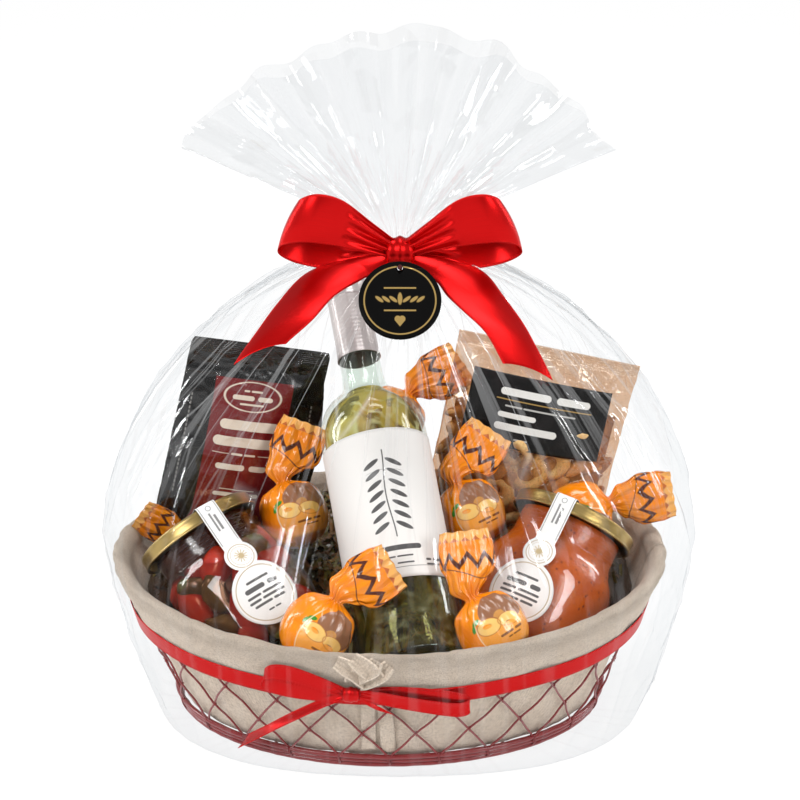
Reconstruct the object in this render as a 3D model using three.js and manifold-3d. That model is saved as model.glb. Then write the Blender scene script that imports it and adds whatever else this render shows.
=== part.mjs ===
import * as THREE from 'three';
import { mergeVertices } from 'three/addons/utils/BufferGeometryUtils.js';
import Module from 'manifold-3d';

// A wrapped gift basket: an oval wire basket with a linen lining, filled with a bottle, two jars,
// two packs and seven wrapped sweets on a bed of shreds, inside a clear film tied with a satin bow.
// Millimetres, +Z up. The origin is the middle of the film's underside.

// Gaps and wall thicknesses
const GAP = 0.3;
const FILM = 0.9;
const CLOTH = 2.3;
const PAPER = 0.5;

// Oval basket: half sizes of the wire wall at the foot and at the rim wire
const BASKET_X = -7.5;
const FOOT_HALF = [151, 113];
const RIM_HALF = [192.5, 154];
const RIM_HEIGHT = 103;
const RIM_LIFT = 8;
const ROD = 1.9;
const FLOOR_ROD = 1.6;
const ROD_LOW = FILM + GAP + 0.866 * ROD;
const WIRE = 0.8;
const WIRE_FOOT = ROD_LOW + 4.05 * ROD;
const WIRE_SIDE = 1.3;
const WIRE_STRANDS = 4;
const OVAL_STEPS = 24;
const OVAL_EVEN = 0.072;
const CLOTH_SIDE = [3.2, 2.1];
const WALL_LEAN = Math.atan((RIM_HALF[1] - FOOT_HALF[1]) / RIM_HEIGHT);

// Clear film: a foot, a widest line, a dome that leans back to the neck, and an open fan above it
const FILM_FOOT = [172, 128];
const FILM_FLAT = [163, 115];
const FILM_GIRTH = [210, 176];
const GIRTH_HEIGHT = 129;
const DOME_HEIGHT = 197;
const DOME_LEAN = 40;
const NECK_HALF = [13, 11];
const NECK_TOP = 341;
const NECK_WALL = 5;
const FILM_SEAM = NECK_TOP - 5;
const FAN_EDGE_TURN = 0.012;
const FAN_REACH = 153;
const FAN_SPREAD = THREE.MathUtils.degToRad(63.5);
const FAN_DEPTH = 24;
const FILM_COLUMNS = 32;
const FILM_CORNER = 0.45;
const FILM_LEVELS = [0.03, 0.3, 0.62, 1, 1.32, 1.6, 1.83, 1.97];

// Bottle
const BOTTLE_R = 38;
const BOTTLE_TOP = 299;
const NECK_R = 14.3;
const NECK_FOOT = 217;
const CAPSULE_FOOT = 238;
const BOTTLE_GLASS = 2.8;
const LABEL_SPAN = [54, 166];
const WINE_TOP = 210.5;

// Jar
const JAR_R = 51;
const JAR_GLASS = 2.6;
const JAR_NECK = 40;
const JAR_RIM = 107;
const LID_R = 45;
const LID_SPAN = [100, 110];
const FILL_TOP = 100;
const ROUND_SIDES = 16;
const JAR_SIDES = 14;

// Packs
const POUCH = { width: 104, height: 160, depth: 34 };
const BAG = { width: 134, height: 166, depth: 38 };

// Wrapped sweet
const SWEET_R = [24.5, 23, 24];
const SWEET_FAN = 46;

// Ribbons and tag
const SATIN = 1.0;
const BOW_WIDTH = 36;
const BAND_WIDTH = 11.5;
const BAND_HEIGHT = 74;
const BAND_STAND = 4.2;
const TAG_R = 28.5;

// Places of the filling: where the foot, or a sweet's middle, stands, then how far the thing leans back,
// rolls to the right and turns, in degrees; bend is a fan's own lean, and squash narrows a pressed sweet
const PLACES = {
  bottle: { at: [11.4, -104, 72], lean: 45.6, roll: -9.9, turn: 0 },
  jar_left: { at: [-86.4, -61, 60.8], lean: 35.4, roll: -33.5, turn: 16.3 },
  jar_right: { at: [79.5, -58, 59.8], lean: 36.7, roll: 25.4, turn: -13.4 },
  nut_pouch: { at: [-134.8, 51.5, 94.8], lean: 1.4, roll: 12.9, turn: 14.3 },
  biscuit_bag: { at: [74, 49, 84], lean: 4.3, roll: 12, turn: 0 },
  sweet_1: { at: [-76.5, 12.5, 135.5], lean: 27.8, roll: -17.8, turn: 0, bend: 38 },
  sweet_2: { at: [-57, -117.5, 108.5], lean: 16, roll: 33, turn: 0, bend: 26 },
  sweet_3: { at: [51, 2, 141], lean: 24, roll: -26, turn: 0, bend: 60 },
  sweet_4: { at: [63, -109, 105.5], lean: 26, roll: -33, turn: 0, bend: 26 },
  sweet_5: { at: [-7, 95, 175], lean: 34, roll: 36, turn: 0, bend: 20 },
  sweet_6: { at: [129.5, 26, 129], lean: 8, roll: 70, turn: 0, bend: 10 },
  sweet_7: { at: [-141, 36, 93], lean: -10, roll: -49, turn: 0, bend: -8, squash: [0.8, 0.55, 0.85] },
};

const wasm = await Module();
wasm.setup();
const rad = THREE.MathUtils.degToRad;
const lerp = THREE.MathUtils.lerp;
const clamp = THREE.MathUtils.clamp;
const V = (x, y, z) => new THREE.Vector3(x, y, z);

// A repeatable random number from 0 to 1
function seeded(seed) {
  let state = seed;
  return () => {
    state = (state * 1664525 + 1013904223) % 4294967296;
    return state / 4294967296;
  };
}

// Welds a geometry's vertices, drops flat triangles and turns its faces outward
function closed(source) {
  let geometry = source.clone();
  geometry.deleteAttribute('normal');
  geometry.deleteAttribute('uv');
  geometry = mergeVertices(geometry, 1e-4);
  const p = geometry.attributes.position;
  const kept = [];
  let volume = 0;
  for (let i = 0; i < geometry.index.count; i += 3) {
    const [a, b, c] = [0, 1, 2].map((k) => geometry.index.getX(i + k));
    if (a === b || b === c || a === c) continue;
    kept.push([a, b, c]);
    const [u, v, w] = [a, b, c].map((k) => V(p.getX(k), p.getY(k), p.getZ(k)));
    volume += u.dot(v.cross(w));
  }
  const facing = volume < 0 ? kept.map(([a, b, c]) => [a, c, b]) : kept;
  geometry.setIndex(facing.flat());
  return geometry;
}

// A closed body through a row of rings; a ring of one point is a pole, an open end gets a flat cap. From ring
// inner on, four-cornered faces are split the other way, so that a thin wall keeps its thickness
function loft(rings, looped = false, inner = Infinity) {
  const points = [];
  const faces = [];
  const ids = rings.map((ring) => ring.map((point) => points.push(point) - 1));
  const join = (low, high, turned) => {
    const n = Math.max(low.length, high.length);
    for (let i = 0; i < n; i++) {
      const j = (i + 1) % n;
      if (low.length === 1) faces.push([low[0], high[j], high[i]]);
      else if (high.length === 1) faces.push([low[i], low[j], high[0]]);
      else if (turned) faces.push([low[i], low[j], high[i]], [low[j], high[j], high[i]]);
      else faces.push([low[i], low[j], high[j]], [low[i], high[j], high[i]]);
    }
  };
  for (let k = 0; k + 1 < ids.length; k++) join(ids[k], ids[k + 1], k >= inner);
  if (looped) join(ids[ids.length - 1], ids[0], false);
  const cap = (ring, flip) => {
    const middle = ring.reduce((sum, k) => sum.add(points[k]), V(0, 0, 0)).divideScalar(ring.length);
    const m = points.push(middle) - 1;
    ring.forEach((k, i) => {
      const next = ring[(i + 1) % ring.length];
      faces.push(flip ? [m, next, k] : [m, k, next]);
    });
  };
  if (!looped && ids[0].length > 1) cap(ids[0], true);
  if (!looped && ids[ids.length - 1].length > 1) cap(ids[ids.length - 1], false);
  const geometry = new THREE.BufferGeometry();
  const flat = points.flatMap((point) => [point.x, point.y, point.z]);
  geometry.setAttribute('position', new THREE.Float32BufferAttribute(flat, 3));
  geometry.setIndex(faces.flat());
  return closed(geometry);
}

// A thin closed body between two grids of points, rows by columns
function slab(front, back) {
  const [rows, columns] = [front.length, front[0].length];
  const points = [...front.flat(), ...back.flat()];
  const id = (side, i, j) => side * rows * columns + i * columns + j;
  const faces = [];
  const quad = (a, b, c, d) => faces.push([a, b, c], [a, c, d]);
  for (let i = 0; i + 1 < rows; i++) {
    for (let j = 0; j + 1 < columns; j++) {
      quad(id(0, i, j), id(0, i, j + 1), id(0, i + 1, j + 1), id(0, i + 1, j));
      quad(id(1, i, j), id(1, i + 1, j), id(1, i + 1, j + 1), id(1, i, j + 1));
    }
    quad(id(0, i, 0), id(0, i + 1, 0), id(1, i + 1, 0), id(1, i, 0));
    const last = columns - 1;
    quad(id(0, i + 1, last), id(0, i, last), id(1, i, last), id(1, i + 1, last));
  }
  for (let j = 0; j + 1 < columns; j++) {
    quad(id(0, 0, j + 1), id(0, 0, j), id(1, 0, j), id(1, 0, j + 1));
    quad(id(0, rows - 1, j), id(0, rows - 1, j + 1), id(1, rows - 1, j + 1), id(1, rows - 1, j));
  }
  const geometry = new THREE.BufferGeometry();
  const flat = points.flatMap((point) => [point.x, point.y, point.z]);
  geometry.setAttribute('position', new THREE.Float32BufferAttribute(flat, 3));
  geometry.setIndex(faces.flat());
  return closed(geometry);
}

// A turned body about Z from points [radius, height]; its first facet edge faces the front
function turned(profile, sides = ROUND_SIDES) {
  const lathe = new THREE.LatheGeometry(profile.map(([r, z]) => new THREE.Vector2(r, z)), sides);
  return closed(lathe.rotateX(Math.PI / 2));
}

// A round rod of constant section along a curve through the points
function rod(points, radius, steps, sides) {
  const section = new THREE.Shape();
  for (let i = 0; i < sides; i++) {
    const angle = (2 * Math.PI * i) / sides;
    const method = i === 0 ? 'moveTo' : 'lineTo';
    section[method](radius * Math.cos(angle), radius * Math.sin(angle));
  }
  const extrudePath = new THREE.CatmullRomCurve3(points);
  return closed(new THREE.ExtrudeGeometry(section, { steps, bevelEnabled: false, extrudePath }));
}

// A flat ribbon along points, as wide as the half-width vectors say, bowed by crown in its middle
function ribbon(points, halves, normals, crown = 0) {
  const across = crown === 0 ? [-1, 1] : [-1, 0, 1];
  const side = (offset) =>
    points.map((point, i) =>
      across.map((u) =>
        point
          .clone()
          .addScaledVector(halves[i], u)
          .addScaledVector(normals[i], offset + crown * (1 - u * u)),
      ),
    );
  return slab(side(SATIN / 2), side(-SATIN / 2));
}

const solid = (geometry) => {
  const vertProperties = Float32Array.from(geometry.attributes.position.array);
  const triVerts = Uint32Array.from(geometry.index.array);
  return new wasm.Manifold(new wasm.Mesh({ numProp: 3, vertProperties, triVerts }));
};

// The geometry of a cut or joined body; loose scraps are dropped
function shape(body) {
  const parts = body.decompose();
  parts.sort((a, b) => b.volume() - a.volume());
  const mesh = parts[0].getMesh();
  const geometry = new THREE.BufferGeometry();
  const flat = Float32Array.from(mesh.vertProperties);
  geometry.setAttribute('position', new THREE.Float32BufferAttribute(flat, 3));
  geometry.setIndex([...mesh.triVerts]);
  return geometry;
}

const union = (geometries) => shape(geometries.map(solid).reduce((all, one) => all.add(one)));
const cut = (geometry, tools) =>
  shape(tools.map(solid).reduce((left, tool) => left.subtract(tool), solid(geometry)));

const root = new THREE.Group();

function addMesh(parent, name, geometry, color, roughness, metalness = 0, extra = {}) {
  const material = new THREE.MeshStandardMaterial({ color, roughness, metalness, ...extra });
  const mesh = new THREE.Mesh(geometry, material);
  mesh.name = name;
  parent.add(mesh);
  return mesh;
}

// The turn and place of one thing in the filling
function matrixOf(name) {
  const { at, lean, roll, turn, squash = [1, 1, 1] } = PLACES[name];
  const turnTo = new THREE.Euler(-rad(lean), rad(roll), rad(turn), 'XYZ');
  return new THREE.Matrix4().compose(V(...at), new THREE.Quaternion().setFromEuler(turnTo), V(...squash));
}

function groupOf(name) {
  const group = new THREE.Group();
  group.applyMatrix4(matrixOf(name));
  root.add(group);
  return group;
}

const placed = (name, geometry) => geometry.clone().applyMatrix4(matrixOf(name));

// Oval wall of the basket

const rimLift = (angle, z) => RIM_LIFT * Math.cos(angle) ** 2 * (z / RIM_HEIGHT);

// The angle on the oval of a place counted in equal steps round it, and the other way about
const angleAt = (place) => {
  const turn = (2 * Math.PI * place) / OVAL_STEPS;
  return turn + OVAL_EVEN * Math.sin(2 * turn);
};
const placeAt = (angle) => ((angle - OVAL_EVEN * Math.sin(2 * angle)) * OVAL_STEPS) / (2 * Math.PI);

// A point beside the wire wall: offset outward from the wires, z before the rim's lift. The wall is
// a row of flat facets, so that the wires, the lining and the ribbon lie alike on it.
function wallPoint(place, offset, z) {
  const f = z / RIM_HEIGHT;
  const a = lerp(FOOT_HALF[0], RIM_HALF[0], f) + offset;
  const b = lerp(FOOT_HALF[1], RIM_HALF[1], f) + offset;
  const corner = (k) => {
    const angle = angleAt(k);
    return V(BASKET_X + a * Math.cos(angle), b * Math.sin(angle), z + rimLift(angle, z));
  };
  const first = Math.floor(place + 1e-9);
  return corner(first).lerp(corner(first + 1), place - first);
}

const ovalPlaces = Array.from({ length: OVAL_STEPS }, (_, i) => i);

// A closed oval hoop whose section is given as [offset, z] points beside the wall
const hoop = (section) =>
  loft(ovalPlaces.map((place) => section.map(([offset, z]) => wallPoint(place, offset, z))), true);

// A closed strand of wire that zigzags between the foot and the rim, two places a leg, and bows
// out on its way up and in on its way down
function wireStrand(first) {
  const [low, high] = [WIRE_FOOT, RIM_HEIGHT - 0.8];
  const route = Array.from({ length: OVAL_STEPS }, (_, i) => {
    const place = first + i;
    const height = i % 4 === 0 ? low : i % 4 === 2 ? high : (low + high) / 2;
    const bow = i % 4 === 1 ? WIRE_SIDE : i % 4 === 3 ? -WIRE_SIDE : 0;
    return { angle: angleAt(place), point: wallPoint(place, bow, height) };
  });
  const count = route.length;
  const rings = route.map(({ angle, point }, i) => {
    const before = route[(i + count - 1) % count].point;
    const after = route[(i + 1) % count].point;
    const along = after.clone().sub(before).normalize();
    const outward = V(Math.cos(angle), Math.sin(angle), 0);
    const side = along.clone().cross(outward).normalize();
    const out = side.clone().cross(along);
    return [0, 1, 2].map((k) => {
      const turn = (2 * Math.PI * k) / 3;
      const [outward, sideways] = [WIRE * Math.cos(turn), WIRE * Math.sin(turn)];
      return point.clone().addScaledVector(out, outward).addScaledVector(side, sideways);
    });
  });
  return loft(rings, true);
}

// Half of the section of three rods lying on each other at the foot, in rod radii
const ROD_STACK = [[0.5, -0.866], [1, 0], [0.6, 0.9], [1, 1.8], [0.6, 2.7], [1, 3.6], [0.95, 4.3]];

function basketFrame() {
  const right = ROD_STACK.map(([o, z]) => [o * ROD, ROD_LOW + z * ROD]);
  const left = right.map(([o, z]) => [-o, z]).reverse();
  const rimWire = [[-1.8, -1.2], [1.8, -1.2], [1.8, 1.2], [-1.8, 1.2]].map(([o, z]) => [o, RIM_HEIGHT + z]);
  const rods = [hoop([...right, ...left]), hoop(rimWire)];
  for (let first = 0; first < WIRE_STRANDS; first++) rods.push(wireStrand(first));
  for (const x of [-80, -27, 27, 80]) {
    const half = FOOT_HALF[1] * Math.sqrt(1 - (x / FOOT_HALF[0]) ** 2) - 1;
    rods.push(rod([-half, half].map((y) => V(BASKET_X + x, y, ROD_LOW)), FLOOR_ROD, 1, 4));
  }
  return union(rods);
}

// Linen lining: floor, wall inside the wires, roll over the rim wire and a flap outside
const LINER_FLOOR = ROD_LOW + FLOOR_ROD + 2 * GAP;

function linenLiner() {
  const [inner, outer] = [-CLOTH_SIDE[0], CLOTH_SIDE[1]];
  const section = [
    [-13, LINER_FLOOR],
    [-4.5, 9.8],
    [inner, 17],
    [inner, RIM_HEIGHT + 1.6],
    [outer, RIM_HEIGHT + 1.6],
    [outer, BAND_HEIGHT - 5],
    [outer + CLOTH, BAND_HEIGHT - 5],
    [outer + CLOTH, RIM_HEIGHT - 1],
    [0, RIM_HEIGHT + 5.5],
    [inner - CLOTH, RIM_HEIGHT - 1],
    [inner - CLOTH, 19],
    [-13, LINER_FLOOR + CLOTH],
  ];
  const rings = section.map(([o, z]) => ovalPlaces.map((place) => wallPoint(place, o, z)));
  const middle = (z) => [V(BASKET_X, 0, z)];
  return loft([middle(LINER_FLOOR), ...rings, middle(LINER_FLOOR + CLOTH)]);
}

// Clear film

const domeEdge = (angle) => 1.9 - 0.55 * clamp(-Math.sin(angle), 0, 1) ** 1.5;

// A point of the film below the neck; level runs from 0 at the foot to 1 at the girth to 2 at the neck
function domePoint(angle, level, inward) {
  if (level <= 1) {
    const a = lerp(FILM_FOOT[0], FILM_GIRTH[0], level ** 0.8) - inward;
    const b = lerp(FILM_FOOT[1], FILM_GIRTH[1], level ** 0.6) - inward;
    return ovalCorner(angle, a, b, FILM_CORNER * (1 - level), Math.max(level * GIRTH_HEIGHT, inward));
  }
  const frac = level - 1;
  const edge = domeEdge(angle);
  const round = Math.max(1 - frac ** edge, 0) ** (1 / edge);
  const a = Math.max(FILM_GIRTH[0] * round, NECK_HALF[0]) - inward;
  const b = Math.max(FILM_GIRTH[1] * round, NECK_HALF[1]) - inward;
  const y = DOME_LEAN * frac ** 1.6;
  return V(a * Math.cos(angle), y + b * Math.sin(angle), GIRTH_HEIGHT + frac * (DOME_HEIGHT - inward));
}

// A point of an oval whose corners fill out as corner grows from 0
function ovalCorner(angle, a, b, corner, z) {
  const power = 2 / (2 + corner);
  const [c, d] = [Math.cos(angle), Math.sin(angle)];
  return V(a * Math.sign(c) * Math.abs(c) ** power, b * Math.sign(d) * Math.abs(d) ** power, z);
}

// A point resting on the front of the film above (x, y), raised by lift
function onDome(x, y, lift) {
  let [low, high] = [0.05, 0.999];
  for (let i = 0; i < 30; i++) {
    const frac = (low + high) / 2;
    const centre = DOME_LEAN * frac ** 1.6;
    const edge = domeEdge(Math.atan2(y - centre, x));
    const round = (1 - frac ** edge) ** (1 / edge);
    const inside = Math.hypot(x / (FILM_GIRTH[0] * round), (y - centre) / (FILM_GIRTH[1] * round)) < 1;
    if (inside) low = frac;
    else high = frac;
  }
  return V(x, y, GIRTH_HEIGHT + low * DOME_HEIGHT + lift);
}

// A point of the fan above the neck; reach runs from 0 at the neck to 1 at the open edge
function fanPoint(column, reach, inward) {
  const angle = (2 * Math.PI * column) / FILM_COLUMNS;
  const onEdge = Math.abs(Math.sin(angle)) < 1e-6;
  const across = (2 / Math.PI) * Math.asin(clamp(Math.cos(angle), -1, 1));
  const tilt = across * (FAN_SPREAD - (onEdge ? FAN_EDGE_TURN * inward * reach : 0));
  const edge = FAN_REACH + 15 * Math.abs(Math.sin(tilt)) ** 1.5 + 3 * Math.sin(5 * tilt + 0.8);
  const length = reach * edge;
  const face = onEdge ? 0 : Math.sign(Math.sin(angle));
  const front = face * Math.abs(Math.sin(angle)) ** 0.8;
  const depth = lerp(NECK_HALF[1], FAN_DEPTH, reach);
  const pleat = onEdge ? 0 : 4 * Math.sqrt(reach) * (column % 2 ? 1 : -1);
  const neckWidth = NECK_HALF[0] - (onEdge ? inward : 0);
  return V(
    neckWidth * Math.cos(angle) * (1 - reach) + length * Math.sin(tilt),
    DOME_LEAN - 4 * reach + depth * front - face * inward + pleat,
    NECK_TOP + length * Math.cos(tilt) - 6 * reach,
  );
}

const filmColumns = Array.from({ length: FILM_COLUMNS }, (_, i) => i);
const filmAngle = (column) => (2 * Math.PI * column) / FILM_COLUMNS;
const bagRings = (inward) =>
  FILM_LEVELS.map((level) => filmColumns.map((i) => domePoint(filmAngle(i), level, inward)));

function neckRing(z, inward) {
  const [a, b] = [NECK_HALF[0] - inward, NECK_HALF[1] - inward];
  return filmColumns.map((i) => V(a * Math.cos(filmAngle(i)), DOME_LEAN + b * Math.sin(filmAngle(i)), z));
}

// The bag round the basket, up to the middle of the satin band; the gathered neck has a narrow way through
function filmBag() {
  const flat = (inward) =>
    filmColumns.map((i) => {
      const [a, b] = FILM_FLAT.map((half) => half - inward);
      return ovalCorner(filmAngle(i), a, b, FILM_CORNER, inward);
    });
  const neckFoot = GIRTH_HEIGHT + DOME_HEIGHT + 4;
  const outside = [[V(0, 0, 0)], flat(0), ...bagRings(0), neckRing(neckFoot, 0), neckRing(FILM_SEAM, 0)];
  const inside = [neckRing(FILM_SEAM, NECK_WALL), neckRing(neckFoot, NECK_WALL), ...bagRings(FILM).reverse(),
    flat(FILM), [V(0, 0, FILM)]];
  return loft([...outside, ...inside], false, outside.length);
}

// The fan above the satin band, a front and a back layer that spread from the neck
function filmFan() {
  const fan = (inward) => [0.15, 0.45, 1].map((reach) => filmColumns.map((i) => fanPoint(i, reach, inward)));
  const foot = FILM_SEAM + GAP;
  const outside = [neckRing(foot, 0), neckRing(NECK_TOP, 0), ...fan(0)];
  const inside = [...fan(FILM).reverse(), neckRing(NECK_TOP, NECK_WALL), neckRing(foot, NECK_WALL)];
  return loft([...outside, ...inside], true, outside.length);
}

// Bottle

const bottleOutline = (grow) => [
  [0, -grow],
  [BOTTLE_R - 4 + grow, -grow],
  [BOTTLE_R + grow, 4],
  [BOTTLE_R + grow, 178],
  [36.4 + grow, 188],
  [32.5 + grow, 197.5],
  [25.5 + grow, 205],
  [18.6 + grow, 210],
  [NECK_R + 0.8 + grow, NECK_FOOT],
];

function bottleGlass() {
  const inner = [
    [NECK_R - 4, BOTTLE_TOP],
    [NECK_R - 3.2, NECK_FOOT],
    [15.2, 208.5],
    [23.2, 202.2],
    [29.8, 195.6],
    [33.5, 187],
    [BOTTLE_R - BOTTLE_GLASS, 177],
    [BOTTLE_R - BOTTLE_GLASS, 8],
    [24, 6],
    [0, 14],
  ];
  return turned([[0, 9], [26, 1], ...bottleOutline(0).slice(1), [NECK_R, BOTTLE_TOP], ...inner]);
}

function bottleWine() {
  const side = BOTTLE_R - BOTTLE_GLASS - GAP;
  const body = [[0, 14.6], [24, 6.6], [side, 8.6], [side, 176.8], [33.2, 186.7], [29.4, 195.3]];
  return turned([...body, [22.9, 201.8], [15.3, 207.8], [13.5, WINE_TOP], [0, WINE_TOP]]);
}

function bottleCapsule() {
  const side = NECK_R + 0.7;
  return turned([[0, 300.5], [side + 0.4, 300.5], [side + 1.1, 299], [side + 1.1, CAPSULE_FOOT],
    [side + 0.3, CAPSULE_FOOT], [side + 0.3, 299.6], [0, 299.6]]);
}

function bottleLabel() {
  const quarter = ROUND_SIDES / 4;
  const face = (r) =>
    LABEL_SPAN.map((z) =>
      Array.from({ length: 2 * quarter + 1 }, (_, i) => {
        const angle = ((i - quarter) * 2 * Math.PI) / ROUND_SIDES;
        return V(r * Math.sin(angle), -r * Math.cos(angle), z);
      }),
    );
  return slab(face(BOTTLE_R + GAP), face(BOTTLE_R + GAP + PAPER));
}

function bottleRoomShape() {
  const [side, top] = [NECK_R + 2.4, BOTTLE_TOP + 2.2];
  return turned([...bottleOutline(1.3), [side, CAPSULE_FOOT - 1], [side, top], [0, top]]);
}

// Jars

const jarOutline = (grow) => [
  [0, -grow],
  [37 + grow, -grow],
  [46 + grow, 4],
  [JAR_R + grow, 16],
  [JAR_R + grow, 57],
  [48.5 + grow, 69],
  [JAR_NECK + 1.5 + grow, 80],
];

function jarGlass() {
  const section = [
    ...jarOutline(0),
    [JAR_NECK, 84],
    [JAR_NECK, JAR_RIM],
    [JAR_NECK - 3, JAR_RIM],
    [JAR_NECK - 2.6, 80],
    [45.4, 67],
    [JAR_R - JAR_GLASS, 56],
    [JAR_R - JAR_GLASS, 17],
    [44, 7],
    [36, 4],
    [0, 4],
  ];
  return turned(section, JAR_SIDES);
}

const jarFillOutline = (shrink, top) => [
  [0, 4 + shrink],
  [36 - shrink, 4 + shrink],
  [43.6 - shrink, 7 + shrink],
  [JAR_R - JAR_GLASS - shrink, 17],
  [JAR_R - JAR_GLASS - shrink, 55.5],
  [45 - shrink, 66.5],
  [JAR_NECK - 3 - shrink, 79],
  [JAR_NECK - 3 - shrink, top],
  [0, top],
];

const jarSpread = () => turned(jarFillOutline(GAP, FILL_TOP), JAR_SIDES);

function jarLid() {
  const [low, top] = LID_SPAN;
  const inner = JAR_RIM + GAP;
  const section = [
    [0, top],
    [LID_R - 2, top],
    [LID_R, top - 1.5],
    [LID_R, low],
    [LID_R - 2.5, low],
    [LID_R - 2.5, inner],
    [0, inner],
  ];
  return turned(section, JAR_SIDES);
}

// Preserved peppers and olives: a core with the outer pieces fused on, all inside the glass
function pepperHeap() {
  const limit = JAR_R - JAR_GLASS - 0.7;
  const top = FILL_TOP - 2;
  const pieces = [turned([[0, 5], [34, 5], [40, 12], [40, 56], [33, 74], [33, top], [0, top]], 10)];
  const draw = seeded(7);
  for (const [row, z] of [17, 39, 60].entries()) {
    const count = row === 2 ? 5 : 6;
    for (let i = 0; i < count; i++) {
      const pepper = (i + row) % 3 !== 0;
      const size = pepper ? [10, 7.2, 14] : [11, 8, 11];
      const ball = new THREE.SphereGeometry(1, 5, 3).scale(...size);
      ball.rotateY((draw() - 0.5) * 1.2);
      const reach = (row === 2 ? limit - 4 : limit) - size[1] - 1.2;
      ball.translate(0, -reach, z + (draw() - 0.5) * 3);
      ball.rotateZ((2 * Math.PI * (i + 0.5 * (row % 2) + 0.3 * draw())) / count);
      pieces.push(closed(ball));
    }
  }
  const room = solid(turned(jarFillOutline(GAP, FILL_TOP), JAR_SIDES));
  return shape(solid(union(pieces)).intersect(room));
}

// Paper seal: a round label on the body, a smaller round above it and a strip up over the lid
function jarSeal() {
  const [low, top] = LID_SPAN;
  const path = [
    [JAR_R - 1, 12.5, 6], [JAR_R, 17, 15], [JAR_R, 24, 21], [JAR_R, 34, 23.5], [JAR_R, 45, 20.5],
    [JAR_R, 55, 11], [50, 65, 11.6], [47.8, 72, 9], [46.2, 84, 8], [LID_R + 0.3, low, 8],
    [LID_R + 0.3, top - 1.4, 8], [LID_R - 1.6, top + 0.6, 8], [LID_R - 13, top + 0.6, 8],
  ];
  const columns = [-1, -0.4, 0.4, 1];
  const face = (offset) =>
    path.map(([r, z, width], i) => {
      const onTop = i === path.length - 1;
      const radius = onTop ? r : r + 0.9 + offset;
      const height = z + (i >= path.length - 2 ? offset : 0);
      return columns.map((u) => {
        const angle = (u * width) / r;
        return V(radius * Math.sin(angle), -radius * Math.cos(angle), height);
      });
    });
  return slab(face(0), face(PAPER));
}

const jarSpace = () => {
  const [side, top] = [LID_R + 1.6, LID_SPAN[1] + 1.4];
  return turned([...jarOutline(1.6), [side, LID_SPAN[0] - 3], [side, top], [0, top]], JAR_SIDES);
};

// Packs: a lens section whose depth and width change with height
function pack(size, depthAt, widthAt, relief, grow = 0, columns = 6, rows = 8) {
  const rings = [];
  for (let i = 0; i <= rows; i++) {
    const f = i / rows;
    const half = (size.width / 2) * widthAt(f) + grow;
    const thick = size.depth * depthAt(f) * 0.5;
    const z = lerp(-grow, size.height + grow, f);
    const row = (side) =>
      Array.from({ length: columns + 1 }, (_, j) => {
        const u = (2 * j) / columns - 1;
        const lens = (1 - Math.abs(u) ** 2.4) * thick;
        const swell = (1 - u * u) * relief(u, f);
        return V(u * half, side * (0.7 + grow + lens + swell), z);
      });
    rings.push([...row(-1), ...row(1).reverse()]);
  }
  return loft(rings);
}

const fadeOut = (f, from, over) => Math.cos((Math.PI / 2) * clamp((f - from) / over, 0, 1));
const pouchDepth = (f) => (f < 0.2 ? lerp(0.86, 1, f / 0.2) : fadeOut(f, 0.2, 0.68) ** 0.8);
const pouchWidth = (f) => (f > 0.99 ? 0.93 : f < 0.1 ? 0.97 : 1);
const dents = (u, f) => 0.5 * Math.sin(9 * u + 7 * f);
const nutPouch = (grow = 0) => pack(POUCH, pouchDepth, pouchWidth, dents, grow);
const bagDepth = (f) => clamp(4.4 * (f + 0.06), 0, 1) ** 0.6 * fadeOut(f, 0.45, 0.52) ** 0.7;
const bagWidth = (f) => 1 - 0.04 * Math.sin(Math.PI * f);
const lumps = (u, f) => (f > 0.05 && f < 0.8 ? 1.4 * Math.sin(8 * u + 1) * Math.sin(15 * f) : 0);
const biscuitBag = (grow = 0) => pack(BAG, bagDepth, bagWidth, lumps, grow);

// Printed card across the top of the biscuit bag, curved with its front face
const BAG_LABEL = { halfWidth: 51, low: 92, high: 144 };

function bagLabel() {
  const face = (offset) =>
    Array.from({ length: 3 }, (_, i) => {
      const z = lerp(BAG_LABEL.low, BAG_LABEL.high, i / 2);
      return Array.from({ length: 7 }, (_, j) => {
        const u = ((2 * j) / 6 - 1) * (BAG_LABEL.halfWidth / (BAG.width / 2));
        const front = 0.7 + (1 - Math.abs(u) ** 2.4) * BAG.depth * 0.5 * bagDepth(z / BAG.height);
        return V((u * BAG.width) / 2, -(front + 2.4 + offset), z);
      });
    });
  return slab(face(0), face(PAPER));
}

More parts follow.
